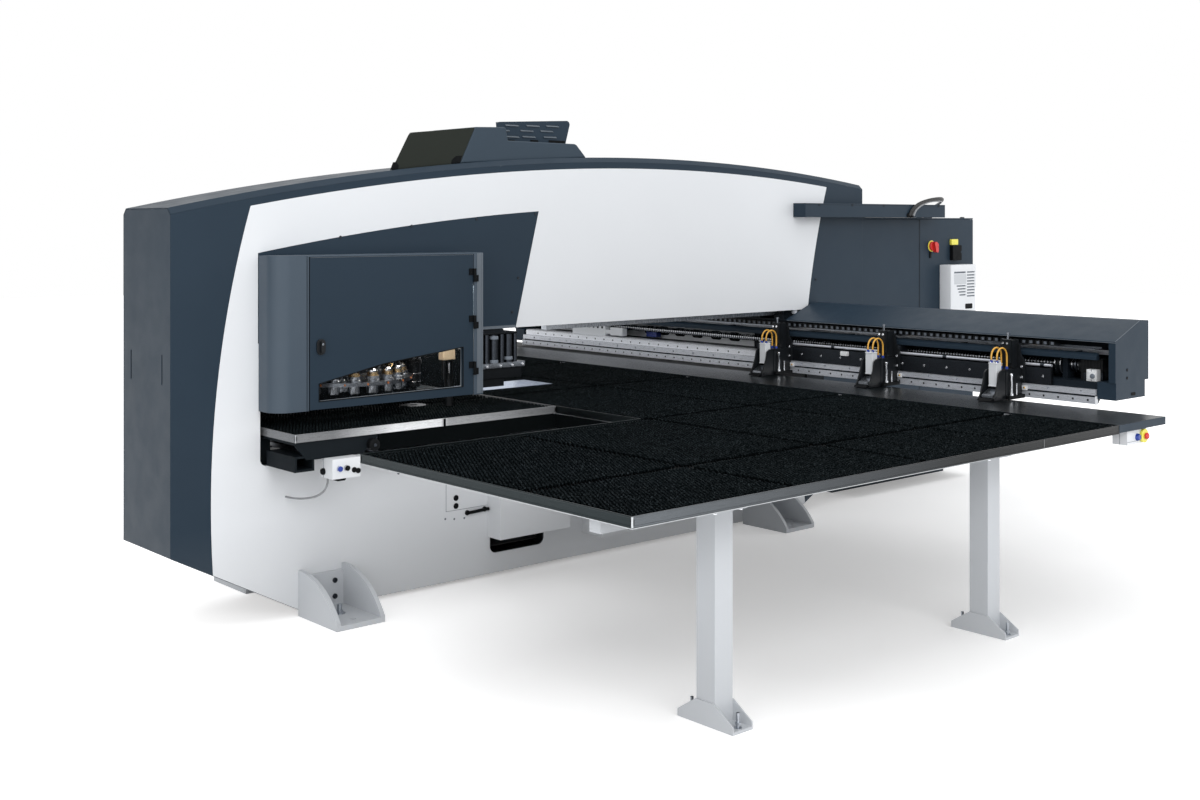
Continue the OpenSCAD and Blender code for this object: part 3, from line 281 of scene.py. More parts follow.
SLATE = paint("slate_coat", (41, 54, 66), 0.40, shine=0.12)
SLATE_DARK = paint("slate_coat_dark", (27, 34, 41), 0.42, shine=0.12)
# The head cover is the door's slate made lighter, as painted light on its rounded corner
SLATE_COVER_LIT = paint("slate_coat_cover_lit", (72, 83, 94), 0.34, shine=0.2)
# Lighter slate for painted highlights on lips, strips and rims, and for painted light in the vent slots
SLATE_LIGHT = paint("slate_coat_light", (96, 104, 112), 0.36, shine=0.35)
# The pale skin's stronger grey towards the floor is partly dust and partly painted shade
WHITE = paint("pale_skin_coat", (228, 230, 233), 0.34, dust_and_shade=0.24, variation=0.012, shine=0.3)
GREY = paint("light_grey_coat", (200, 203, 207), 0.36, dust_and_shade=0.10, variation=0.025, shine=0.3)
SHADOW_GREY = paint("mid_grey_coat", (112, 119, 128), 0.4, shine=0.3)
OLIVE = paint("olive_coat", (34, 38, 33), 0.32, dust_and_shade=0.0, shine=0.15)
STEEL_PAINT = paint("plate_primer", (96, 101, 106), 0.45, shine=0.3)
INNER = paint("inner_coat", (15, 18, 21), 0.5, shine=0.1)
DARK_PLATE = metal("dark_plate", (52, 59, 64), 0.30, (30, 1, 30), variation=0.25)
BRIGHT_Y = metal("ground_steel_y", (214, 217, 224), 0.30, (40, 1, 40), share=0.55)
FAR_STEEL = metal("lit_steel_y", (240, 242, 247), 0.30, (40, 1, 40), variation=0.05, share=0.25)
TABLE_STEEL = metal("table_steel", (124, 146, 180), 0.20, (1, 12, 1), variation=0.2)
BRIGHT = metal("ground_steel", (176, 181, 188), 0.26, (30, 30, 1))
# Painted shade darkens the trims along X, to the right of their lit left part
TRIM_X = metal("trim_along_x", (92, 96, 100), 0.26, (1, 40, 60), variation=0.18, shade_span=(-1.9, 0.0))
TRIM_Y = metal("trim_along_y", (42, 48, 50), 0.30, (40, 1, 60), variation=0.18)
HEAD_TRIM = trim_with_painted_reflection("head_table_trim")
# Near-black with no shine, for painted shade
SHADE_BLACK = plastic("painted_shade_black", (8, 11, 12), 0.8, shine=0.02)
CONSOLE = paint("console_coat", (22, 27, 31), 0.5, shine=0.06)
SLATE_HOOD = paint("slate_coat_hood", (57, 69, 80), 0.40, shine=0.14)
# Painted highlight: a bright lip, darkened along X by painted shade
LIT_LIP = metal("lit_lip", (186, 189, 192), 0.30, (1, 30, 30), variation=0.04, shade_span=(0.0, 1.0))
DARK_STEEL = metal("dark_steel", (58, 62, 68), 0.40, (12, 12, 12), variation=0.25)
RING_STEEL = metal("ring_steel", (128, 133, 140), 0.30, (12, 12, 12), variation=0.22)
BRASS = metal("turned_brass", (216, 174, 106), 0.22, (1, 1, 50))
SPRING = metal("spring_wire", (222, 190, 140), 0.2, (20, 20, 1))
CHROME = metal("bright_screws", (226, 228, 232), 0.14, (1, 1, 1), variation=0.05)
CREAM = plastic("cream_block", (246, 224, 192), 0.4)
BLACK = plastic("black_moulding", (17, 19, 21), 0.42, shine=0.3)
MATT = plastic("matt_black", (11, 13, 15), 0.62, shine=0.1)
GUARD = plastic("machined_black", (20, 23, 26), 0.36, shine=0.3)
RUBBER = plastic("black_sheath", (20, 21, 22), 0.5)
SHEATH_GREY = plastic("grey_sheath", (138, 140, 143), 0.45)
BLUE = plastic("blue_moulding", (30, 60, 150), 0.30)
RED = plastic("red_moulding", (206, 44, 40), 0.28)
YELLOW = plastic("yellow_moulding", (236, 226, 90), 0.32)
ORANGE = plastic("orange_moulding", (222, 130, 62), 0.32)
HOSE = plastic("amber_hose", (228, 172, 70), 0.30)
PALE_PLASTIC = plastic("pale_moulding", (232, 233, 234), 0.35)
BRISTLE = bristle("bristle")
GLASS = window_glass("tinted_window")
THREAD = screw_thread("rolled_thread")

CAD_FINISH = {
    "slate_paint": SLATE, "pale_paint": WHITE, "grey_paint": GREY, "olive_paint": OLIVE,
    "frame_steel": STEEL_PAINT, "bright_steel": BRIGHT, "dark_steel": DARK_STEEL,
    "chuck_brass": BRASS, "trim_aluminium": TRIM_X, "brush_black": BRISTLE,
    "black_plastic": BLACK, "blue_plastic": BLUE, "red_plastic": RED, "yellow_plastic": YELLOW,
    "window_glass": GLASS, "cable_black": RUBBER,
}
# Slot of each CAD node, which picks its finish
SLOT_OF = {s["node"]: s["material_slot"] for s in frame["record"]["subparts"]}
BODY_OF = {n: b for b, ns in frame["record"]["behaviour"]["bodies"].items() for n in ns}
# The beam's darker slate is painted shade from the hood above it
SPECIAL = {"carriage_rails": BRIGHT, "beam_rails": BRIGHT_Y, "beam_screw": THREAD,
           "side_plates": DARK_PLATE, "clamp_hoses": HOSE, "beam": SLATE_DARK,
           "head_casting": INNER, "bridge_frame": STEEL_PAINT, "die_carousel": DARK_STEEL,
           "tool_carousel": RING_STEEL, "head_table": CONSOLE, "control_boxes": WHITE,
           "clamp_bodies": GUARD, "clamp_bar": DARK_STEEL, "skin_boxes": WHITE,
           "hinge_brackets": MATT, "hinge_leaves": MATT, "head_covers": SLATE_COVER_LIT}
for name, cad in frame["nodes"].items():
    cad.data.materials.clear()
    cad.data.materials.append(SPECIAL.get(name, CAD_FINISH[SLOT_OF[name]]))


# ---------------------------------------------------------------- modelling

def only(*pieces):
    ops.object.select_all(action="DESELECT")
    for piece in pieces:
        piece.select_set(True)
    bpy.context.view_layer.objects.active = pieces[0]


def edit(piece, select=True):
    only(piece)
    ops.object.mode_set(mode="EDIT")
    ops.mesh.select_all(action="SELECT" if select else "DESELECT")


def leave():
    ops.object.mode_set(mode="OBJECT")


def modified(piece, kind, **settings):
    """Sets a modifier up and applies it."""
    step = piece.modifiers.new("step", kind)
    for key, value in settings.items():
        setattr(step, key, value)
    only(piece)
    ops.object.modifier_apply(modifier="step")
    return piece


def outward(piece):
    """All faces look out."""
    edit(piece)
    ops.mesh.normals_make_consistent(inside=False)
    leave()
    return piece


def settle(piece):
    only(piece)
    ops.object.transform_apply(location=True, rotation=True, scale=True)
    return piece


def block(x0, x1, y0, y1, z0, z1):
    ops.mesh.primitive_cube_add(size=1, location=((x0 + x1) / 2, (y0 + y1) / 2, (z0 + z1) / 2),
                                scale=(x1 - x0, y1 - y0, z1 - z0))
    return settle(bpy.context.object)


def rod(start, end, radius, sides=24, tip=None):
    """Round bar, or a cone with another radius at its end."""
    start, end = Vector(start), Vector(end)
    run = end - start
    turn = run.to_track_quat("Z", "Y").to_euler()
    ops.mesh.primitive_cone_add(vertices=sides, radius1=radius, radius2=radius if tip is None else tip,
                                depth=run.length, location=(start + end) / 2, rotation=turn)
    return settle(bpy.context.object)


def hoop(centre, axis, radius, wire, sides=36, wire_sides=8):
    turn = Vector(axis).to_track_quat("Z", "Y").to_euler()
    ops.mesh.primitive_torus_add(major_radius=radius, minor_radius=wire, major_segments=sides,
                                 minor_segments=wire_sides, location=centre, rotation=turn)
    return settle(bpy.context.object)


def plate(outline, start, end, along="Y"):
    """Flat outline pulled out along an axis. Points are (x, z) along Y, (y, z) along X, (x, y) along Z."""
    ops.mesh.primitive_circle_add(vertices=len(outline), fill_type="NGON")
    piece = bpy.context.object
    for corner, (a, b) in zip(piece.data.vertices, outline):
        corner.co = {"Y": (a, start, b), "X": (start, a, b), "Z": (a, b, start)}[along]
    edit(piece)
    pull = {"Y": (0, end - start, 0), "X": (end - start, 0, 0), "Z": (0, 0, end - start)}[along]
    ops.mesh.extrude_region_move(TRANSFORM_OT_translate={"value": pull})
    leave()
    return outward(piece)


def rounded(corners, steps=5):
    """Outline with round corners: each corner is (a, b, radius)."""
    outline = []
    count = len(corners)
    for i, (a, b, radius) in enumerate(corners):
        here = Vector((a, b))
        back = (Vector(corners[i - 1][:2]) - here).normalized()
        on = (Vector(corners[(i + 1) % count][:2]) - here).normalized()
        if not radius:
            outline.append((a, b))
            continue
        half = math.acos(max(-1, min(1, back.dot(on)))) / 2
        reach = radius / math.tan(half)
        centre = here + (back + on).normalized() * (radius / math.sin(half))
        first = here + back * reach - centre
        swing = math.pi - 2 * half
        second = here + on * reach - centre
        turn = 1 if first.x * second.y - first.y * second.x > 0 else -1
        for k in range(steps + 1):
            angle = turn * swing * k / steps
            outline.append((centre.x + first.x * math.cos(angle) - first.y * math.sin(angle),
                            centre.y + first.x * math.sin(angle) + first.y * math.cos(angle)))
    return outline


def tile(a0, a1, b0, b1, radius, start, end, along="Y", steps=5):
    """Plate with four round corners."""
    corners = [(a, b, radius) for a, b in ((a0, b0), (a1, b0), (a1, b1), (a0, b1))]
    return plate(rounded(corners, steps), start, end, along)


def turned(profile, foot, axis=(0, 0, 1), sides=32):
    """Turned piece: rings of (radius, height) over a foot point."""
    first = profile[0]
    ops.mesh.primitive_circle_add(vertices=sides, radius=first[0], fill_type="NGON",
                                  location=(0, 0, first[1]))
    piece = settle(bpy.context.object)
    edit(piece)
    radius, height = first
    for wide, high in profile[1:]:
        ops.mesh.extrude_region_move(TRANSFORM_OT_translate={"value": (0, 0, high - height)})
        ratio = wide / radius
        ops.transform.resize(value=(ratio, ratio, 1), center_override=(0, 0, high))
        radius, height = wide, high
    leave()
    outward(piece)
    piece.rotation_euler = Vector(axis).to_track_quat("Z", "Y").to_euler()
    piece.location = foot
    return settle(piece)


def round_line(name, points, radius, fineness, closed=False):
    """Line with a round section through the points."""
    line = bpy.data.curves.new(name, "CURVE")
    line.dimensions = "3D"
    line.bevel_depth = radius
    line.bevel_resolution = fineness
    line.use_fill_caps = not closed
    spline = line.splines.new("POLY")
    spline.points.add(len(points) - 1)
    for knot, point in zip(spline.points, points):
        knot.co = tuple(point) + (1.0,)
    spline.use_cyclic_u = closed
    piece = bpy.data.objects.new(name, line)
    bpy.context.collection.objects.link(piece)
    return piece


def bead(points, radius, closed=False):
    """Round bead as a mesh."""
    only(round_line("bead", points, radius, 1, closed))
    ops.object.convert(target="MESH")
    return bpy.context.object


def screw(centre, normal, size, height=None, sides=12):
    """Socket screw; normal points out of the face it sits on."""
    head = height or size * 0.9
    return turned([(size * 0.92, 0), (size, size * 0.08), (size, head - size * 0.12), (size * 0.9, head),
                   (size * 0.52, head), (size * 0.48, head * 0.5)], centre, normal, sides)


def copy_at(piece, offset, turn=0.0, centre=(0, 0)):
    """Another of the piece, turned about an upright line and moved."""
    twin = piece.copy()
    twin.data = piece.data.copy()
    if turn:
        about = Matrix.Translation((centre[0], centre[1], 0))
        twin.data.transform(about @ Matrix.Rotation(turn, 4, "Z") @ about.inverted())
    twin.data.transform(Matrix.Translation(offset))
    bpy.context.collection.objects.link(twin)
    return twin


def spread(piece, offsets):
    """Moved copies of the piece, each with its own mesh, in place of it."""
    made = [copy_at(piece, offset) for offset in offsets]
    bpy.data.objects.remove(piece)
    return made


def round_stations(piece, shift=0.0):
    """A copy at each station of the carousel, in place of the piece; shift is a share of a station."""
    made = [copy_at(piece, (0, 0, 0), STATION_TURN * (i + shift), CAROUSEL) for i in range(STATIONS)]
    bpy.data.objects.remove(piece)
    return made


def far_copy(piece):
    """Copy on the far side of the frame."""
    twin = piece.copy()
    twin.data = piece.data.copy()
    twin.data.transform(Matrix.Scale(-1, 4, (0, 1, 0)))
    bpy.context.collection.objects.link(twin)
    return outward(twin)


def repeated(piece, count, step):
    """Row of the piece, each one step from the last."""
    return modified(piece, "ARRAY", use_relative_offset=False, use_constant_offset=True,
                    constant_offset_displace=step, count=count)


def cut(piece, tool):
    """Takes the tool's space out of the piece."""
    modified(piece, "BOOLEAN", operation="DIFFERENCE", object=tool)
    bpy.data.objects.remove(tool)
    return piece


def eased(piece, width, segments):
    """The piece with its edges rounded off."""
    return modified(piece, "BEVEL", width=width, segments=segments, limit_method="ANGLE",
                    angle_limit=math.radians(38))


def joined(parts):
    only(*parts)
    if len(parts) > 1:
        ops.object.join()
    return parts[0]


def assemble(name, parts, finish, bevel=0.0, body="frame", slot=None, smooth=35, segments=2,
             stands_for=()):
    """Parts become one piece with rounded edges and a finish, riding on a body."""
    piece = joined(parts)
    piece.name = name
    piece.data.name = name
    if bevel:
        eased(piece, bevel, segments)
    only(piece)
    ops.object.shade_smooth_by_angle(angle=math.radians(smooth))
    if bevel:
        modified(piece, "WEIGHTED_NORMAL", keep_sharp=True)
    piece.data.materials.clear()
    piece.data.materials.append(finish)
    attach(piece, body)
    for cad in stands_for:
        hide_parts(cad)
    return piece


def soften(node_name, width):
    """Copy of a CAD node, merged and with rounded edges, that stands for it."""
    cad = frame["nodes"][node_name]
    twin = bpy.data.objects.new(node_name + "_skin", cad.data.copy())
    bpy.context.collection.objects.link(twin)
    edit(twin)
    ops.mesh.remove_doubles(threshold=0.00002)
    ops.mesh.dissolve_limited(angle_limit=math.radians(0.4))
    leave()
    assemble(node_name + "_skin", [twin], cad.data.materials[0], width, body=BODY_OF[node_name],
             slot=SLOT_OF[node_name], stands_for=(node_name,))


# ---------------------------------------------------------------- stage

def in_sight(tree):
    """One where the eye looks, also by reflection and through glass."""
    path = node(tree, "ShaderNodeLightPath")
    share = path.outputs["Is Camera Ray"]
    for ray in ("Is Glossy Ray", "Is Transmission Ray"):
        either = node(tree, "ShaderNodeMath", operation="MAXIMUM")
        tree.links.new(share, either.inputs[0])
        tree.links.new(path.outputs[ray], either.inputs[1])
        share = either.outputs["Value"]
    return share


def make_floor():
    ops.mesh.primitive_plane_add(size=60, location=(0.8, 0, -0.0005))
    floor = settle(bpy.context.object)
    floor.name = "studio_floor"
    finish, tree, shader = new_finish("studio_floor")
    speck = between(tree, grain(tree, 3, 3), (0.86, 0.855, 0.85, 1), (0.89, 0.885, 0.88, 1))
    dress(tree, shader, speck, 0.8, shine=0.2)
    # The floor glows for the eye and in reflections: a little under the object, fully away from it
    place = node(tree, "ShaderNodeTexCoord")
    centre = node(tree, "ShaderNodeMapping")
    centre.inputs["Location"].default_value = (-1.6, 1.5, 0)
    reach = node(tree, "ShaderNodeVectorMath", operation="LENGTH")
    tree.links.new(place.outputs["Object"], centre.inputs["Vector"])
    tree.links.new(centre.outputs["Vector"], reach.inputs[0])
    glow = level(tree, reach.outputs["Value"], 0.30, 0.85, 2.4, 5.2)
    strength = node(tree, "ShaderNodeMath", operation="MULTIPLY")
    tree.links.new(in_sight(tree), strength.inputs[0])
    tree.links.new(glow, strength.inputs[1])
    shader.inputs["Emission Color"].default_value = (1, 0.99, 0.985, 1)
    tree.links.new(strength.outputs["Value"], shader.inputs["Emission Strength"])
    floor.data.materials.append(finish)


def make_world():
    """Even light on the object, plain white to the eye."""
    world = bpy.data.worlds.new("studio")
    bpy.context.scene.world = world
    world.use_nodes = True
    tree = world.node_tree
    tree.nodes.clear()
    mix = node(tree, "ShaderNodeMixShader")
    tree.links.new(in_sight(tree), mix.inputs["Fac"])
    for socket, colour, strength in ((1, (0.96, 0.98, 1.0, 1), 0.80), (2, (1, 1, 1, 1), 1.0)):
        light = node(tree, "ShaderNodeBackground")
        light.inputs["Color"].default_value = colour
        light.inputs["Strength"].default_value = strength
        tree.links.new(light.outputs["Background"], mix.inputs[socket])
    out = node(tree, "ShaderNodeOutputWorld")
    tree.links.new(mix.outputs["Shader"], out.inputs["Surface"])


def softbox(name, place, aim, size, power, tint=(1, 1, 1)):
    light = bpy.data.lights.new(name, "AREA")
    light.shape = "RECTANGLE"
    light.size, light.size_y = size
    light.energy = power
    light.color = tint
    lamp = bpy.data.objects.new(name, light)
    lamp.location = place
    lamp.rotation_euler = (Vector(aim) - Vector(place)).to_track_quat("-Z", "Y").to_euler()
    bpy.context.collection.objects.link(lamp)


def make_lights():
    softbox("key_box", (-4.0, -10.5, 5.8), (-0.4, 0.0, 1.2), (8, 5), 450)
    softbox("fill_box", (-9.5, -5.5, 3.0), (-2.0, -0.3, 1.0), (4, 4), 90)
    softbox("top_box", (0.5, -2.0, 8.0), (0.5, -0.8, 0.5), (9, 7), 130)
    softbox("rim_box", (9.5, -4.5, 4.5), (1.8, -1.0, 1.0), (3, 5), 70)
    softbox("work_lamp", (-0.98, -0.36, 1.62), (-1.0, -0.20, 1.1), (0.5, 0.08), 5.0, (1.0, 0.93, 0.82))


def make_camera():
    camera = bpy.data.cameras.new("view")
    camera.sensor_width = 36
    camera.lens = 42.24
    camera.shift_y = -0.1483
    camera.clip_end = 200
    stand = bpy.data.objects.new("view", camera)
    stand.location = (-5.225, -6.490, 1.95)
    stand.rotation_euler = (math.radians(90), 0, math.radians(-41.35))
    bpy.context.collection.objects.link(stand)
    bpy.context.scene.camera = stand


make_camera()
make_floor()
make_world()
make_lights()

# ---------------------------------------------------------------- cables and hoses

def route(stops):
    """Smooth line through the stops, the same as the source's own."""
    points = []
    steps = 4
    last = len(stops) - 1
    for i in range(last):
        a, b, c, d = (Vector(stops[max(0, min(last, i + k))]) for k in (-1, 0, 1, 2))
        for k in range(steps):
            t = k / steps
            points.append(0.5 * (2 * b + (c - a) * t + (2 * a - 5 * b + 4 * c - d) * t * t
                                 + (3 * b - a - 3 * c + d) * t ** 3))
    return points + [Vector(stops[-1])]


def free_cord(name, points, radius, body, finish, stands_for):
    """Cable or hose as one open line with a round section."""
    piece = round_line(name, points, radius, 3)
    piece.data.materials.append(finish)
    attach(piece, body)
    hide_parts(stands_for)


for i, finish in enumerate((SHEATH_GREY, RUBBER, RUBBER)):
    stops = [(3.140 - 0.024 * i, -0.390, 1.995), (3.170 - 0.024 * i, -0.391, 2.038),
             (3.240 - 0.022 * i, -0.392 - 0.002 * i, 2.075 + 0.004 * i),
             (3.340 - 0.014 * i, -0.392 - 0.006 * i, 2.100 + 0.006 * i),
             (3.450 - 0.004 * i, -0.388 - 0.008 * i, 2.106 + 0.009 * i),
             (3.532 + 0.006 * i, -0.348 - 0.004 * i, 2.096 + 0.009 * i),
             (3.580 + 0.018 * i, -0.272, 2.075 + 0.005 * i),
             (3.596 + 0.025 * i, -0.206, 2.035 + 0.002 * i), (3.598 + 0.026 * i, -0.170, 1.986)]
    free_cord(f"cabinet_cable_{i + 1}", route(stops), 0.009, "frame", finish,
              "control_cables")
free_cord("box_cable", route([(-1.746, -0.560, 0.726), (-1.746, -0.558, 0.694), (-1.753, -0.532, 0.654),
                              (-1.768, -0.478, 0.624), (-1.788, -0.400, 0.606),
                              (-1.804, -0.330, 0.600), (-1.812, -0.274, 0.600)]),
          0.005, "frame", SHEATH_GREY, "control_cables")
for number, clamp_y in enumerate(CLAMPS, 1):
    for side, offset in (("near", -0.018), ("far", 0.018)):
        bow = [Vector((1.665, clamp_y + offset, 1.1603)), Vector((1.665, clamp_y + offset, 1.175))]
        bow += [Vector((1.715 - 0.05 * math.cos(math.pi * k / 14), clamp_y + offset,
                        1.190 + 0.05 * math.sin(math.pi * k / 14))) for k in range(15)]
        bow += [Vector((1.765, clamp_y + offset, z)) for z in (1.167, 1.144, 1.1203)]
        free_cord(f"clamp_hose_{number}_{side}", bow, 0.005, "clamps", HOSE,
                  "clamp_hoses")

# ---------------------------------------------------------------- CAD nodes with eased edges

for part, width in (("top_cover", 0.003), ("frame_casings", 0.0018), ("end_panels", 0.0015),
                    ("frame_skins", 0.0012), ("head_backing", 0.0012), ("anchor_feet", 0.002),
                    ("head_covers", 0.0018), ("head_door", 0.0022), ("skin_boxes", 0.002),
                    ("table_legs", 0.0015), ("side_plates", 0.0015), ("beam_covers", 0.0022),
                    ("cabinet", 0.002), ("cabinet_door_left", 0.003), ("cabinet_door_right", 0.003),
                    ("cable_duct", 0.0012), ("control_boxes", 0.002), ("head_table", 0.0012),
                    ("tool_carousel", 0.0012), ("die_carousel", 0.0012), ("clamp_bodies", 0.0015),
                    ("clamp_bar", 0.0012), ("clamp_jaw_1", 0.0012), ("clamp_jaw_2", 0.0012),
                    ("clamp_jaw_3", 0.0012), ("beam_motor", 0.003)):
    soften(part, width)
# The cabinet's plinth stands back, and the nut has play round the turning screw
cut(bpy.data.objects["cabinet_skin"], block(2.70, 4.12, -0.30, 0.020, -0.01, 0.0985))
cut(bpy.data.objects["clamp_bar_skin"],
    rod((SCREW_X, -2.2, SCREW_Z), (SCREW_X, -0.1, SCREW_Z), 0.0212, 48))


# ---------------------------------------------------------------- details

def frame_details():
    # Socket screws of the skins, on both sides
    spots = [(-1.504, 1.874), (-1.076, 1.929), (-0.653, 1.966), (-0.241, 1.995), (-0.365, 1.637),
             (-0.407, 1.448), (2.200, 1.560), (-1.157, 0.639), (1.600, 0.300)]
    for name, side in (("skin_screws", -1), ("skin_screws_back", 1)):
        pattern = screw((0, 0, 0), (0, side, 0), 0.0075, 0.004)
        screws = spread(pattern, [(x, side * (0.0001 - SKIN), z) for x, z in spots])
        assemble(name, screws, DARK_STEEL)

    # Lower part of the skin: panel joint, plugs, small dots and a bar
    joint = [block(-0.8552, -0.8528, SKIN - 0.0006, SKIN + 0.001, 0.395, 0.566),
             block(-0.8552, -0.560, SKIN - 0.0006, SKIN + 0.001, 0.3945, 0.3965)]
    assemble("skin_joint", joint, SHADOW_GREY, slot="pale_paint")
    plug = turned([(0.016, 0), (0.016, 0.002), (0.012, 0.006), (0.006, 0.007)], (0, 0, 0), (0, -1, 0))
    plugs = spread(plug, [(-0.789, SKIN, 0.461), (-0.789, SKIN, 0.418), (-1.371, SKIN, 0.117),
                          (-0.590, SKIN, 0.600)])
    assemble("skin_plugs", plugs, MATT)
    dots = spread(turned([(0.006, 0), (0.006, 0.0008), (0.004, 0.0015)], (0, 0, 0), (0, -1, 0), 12),
                  [(-0.859, SKIN, 0.357), (-0.800, SKIN, 0.349), (-0.734, SKIN, 0.345)])
    assemble("skin_dots", dots, SHADOW_GREY)
    bar = [rod((-0.716, SKIN - 0.014, 0.372), (-0.581, SKIN - 0.014, 0.378), 0.009, 16)]
    bar += [turned([(0.014, 0), (0.014, 0.006), (0.010, 0.012)], (x, SKIN, z), (0, -1, 0))
            for x, z in ((-0.716, 0.372), (-0.600, 0.377))]
    assemble("skin_bar", bar, MATT)

    # Handle recesses of the end panels: rubber lips round the slots
    lips = [bead([(x, y - 0.007, 1.185), (x, y + 0.007, 1.185), (x, y + 0.007, 1.329),
                  (x, y - 0.007, 1.329)], 0.0016, closed=True)
            for x in (-2.4033, 2.7083) for y in (-0.176, 0.176)]
    assemble("handle_lips", lips, MATT, smooth=60)
    # Feet: screws through the upright pad, and washers of the levelling screws
    foot_x = 1.609
    bolts = spread(screw((0, 0, 0), (0, -1, 0), 0.013, 0.010),
                   [(side * foot_x + dx, -0.293, z)
                    for side in (-1, 1) for dx in (-0.060, 0.060) for z in (0.070, 0.150)])
    bolts += [far_copy(b) for b in list(bolts)]
    assemble("foot_screws", bolts, DARK_STEEL)
    pads = [turned([(0.030, 0.0253), (0.030, 0.0275), (0.027, 0.029)], (x, y, 0), sides=28)
            for x in (-foot_x, foot_x) for y in (-0.440, 0.440)]
    assemble("jack_washers", pads, BRIGHT)

    # Service box: door seam, latch and hinge barrels
    parts = [bead([(0.135, -0.4465, 0.165), (0.587, -0.4465, 0.165), (0.587, -0.4465, 0.408),
                   (0.135, -0.4465, 0.408)], 0.0014, closed=True)]
    parts += [rod((0.560, -0.451, z), (0.560, -0.451, z + 0.035), 0.006, 14) for z in (0.20, 0.34)]
    parts.append(turned([(0.013, 0), (0.013, 0.003), (0.009, 0.006)], (0.165, -0.446, 0.29), (0, -1, 0)))
    assemble("service_box_fittings", parts, SHADOW_GREY)
    # Scrap outlet: dark lip and a sloped tray behind it
    lip = tile(-0.560, -0.180, 0.125, 0.330, 0.04, -0.262, -0.222, steps=6)
    core = tile(-0.556, -0.184, 0.129, 0.326, 0.036, -0.30, -0.20, steps=6)
    assemble("scrap_lip", [cut(lip, core)], MATT)
    tray = plate([(-0.222, 0.150), (-0.222, 0.154), (0.05, 0.300), (0.05, 0.296)], -0.550, -0.190, "X")
    assemble("scrap_tray", [tray], INNER, 0.0008)


def slanted(shell, low, high, y):
    """The hood without what lies left of its slanted end; low and high end the front edge, as (x, z)."""
    run, rise = high[0] - low[0], high[1] - low[1]
    corners = []
    for depth in (y - 0.01, y + 0.45):
        for share in (-0.5, 2.0):
            x = low[0] + run * share + HOOD_SLANT * (depth - y)
            corners.append((x, depth, low[1] + rise * share))
    tool = block(-1, 0, 0, 1, 0, 1)
    for corner in tool.data.vertices:
        near = corner.co.y < 0.5
        upper = corner.co.z > 0.5
        x, depth, z = corners[(0 if near else 2) + (1 if upper else 0)]
        corner.co = (x if corner.co.x > -0.5 else x - 0.6, depth, z)
    return cut(shell, tool)


def hoods():
    fan = plate(rounded([(-1.159, arch(-1.159) + 0.0005, 0), (-0.7185, arch(-0.7185) + 0.0005, 0),
                         (-0.617, 2.471, 0.004), (-1.046, 2.425, 0.055)], 8), -0.210, 0.210)
    fan = slanted(fan, (-1.159, arch(-1.159)), (-1.046, 2.425), -0.210)
    assemble("fan_hood_shell", [fan], OLIVE, 0.010, segments=3, stands_for=("fan_hood",))
    feet = [plate([(-1.1595, arch(-1.1595) + 0.001), (-1.118, arch(-1.118) + 0.001),
                   (-1.112, arch(-1.118) + 0.020), (-1.128, arch(-1.15) + 0.042),
                   (-1.141, arch(-1.15) + 0.042)], -0.2125, -0.196),
            plate([(-0.775, arch(-0.775) + 0.001), (-0.7185, arch(-0.7185) + 0.001),
                   (-0.703, arch(-0.70) + 0.042), (-0.745, arch(-0.745) + 0.042),
                   (-0.772, arch(-0.772) + 0.022)], -0.2125, -0.190)]
    assemble("hood_clips", feet, MATT, 0.002)
    base = plate(rounded([(-0.7145, arch(-0.7145) + 0.0005, 0), (0.196, arch(0.196) + 0.0005, 0),
                          (0.117, 2.407, 0.035), (-0.384, 2.4085, 0), (-0.400, 2.483, 0.02),
                          (-0.614, 2.475, 0.02)], 6), -0.210, 0.210)
    assemble("hood_base_shell", [base], SLATE_HOOD, 0.008, segments=3, stands_for=("hood_base",))
    vent = plate(rounded([(-0.383, 2.4103, 0), (0.117, 2.4075, 0), (0.158, 2.550, 0.022),
                          (-0.398, 2.518, 0.03)], 6), -0.110, 0.210)
    vent = slanted(vent, (-0.383, 2.410), (-0.398, 2.518), -0.110)
    slots = []
    blades = []
    rows = ((2.503, (-0.329, -0.176, -0.030), 0.0), (2.472, (-0.345, -0.221, -0.073), 0.04),
            (2.438, (-0.325, -0.206, -0.048), 0.0))
    for z, starts, short in rows:
        for n, x in enumerate(starts):
            run = 0.095 if n or not short else 0.045
            rise = 0.004 * n
            slots.append(block(x, x + run, -0.125, -0.102, z - 0.006 + rise, z + 0.006 + rise))
            blades.append(plate([(-0.1155, z - 0.0055 + rise), (-0.1015, z + 0.0065 + rise),
                                 (-0.1035, z + 0.0085 + rise), (-0.1175, z - 0.0035 + rise)],
                                x, x + run, "X"))
    assemble("vent_hood_shell", [cut(vent, joined(slots))], SLATE, 0.006, segments=3,
             stands_for=("vent_hood",))
    # Blades in lighter slate: painted light showing through the slots
    assemble("vent_blades", blades, SLATE_LIGHT, 0.0008)
    notches = [block(x0, x1, -0.1135, -0.108, z - 0.007, z + 0.009)
               for x0, x1, z in ((-0.343, -0.262, 2.412), (-0.147, -0.090, 2.417),
                                 (-0.010, 0.112, 2.420))]
    assemble("vent_feet", notches, MATT, 0.0015)


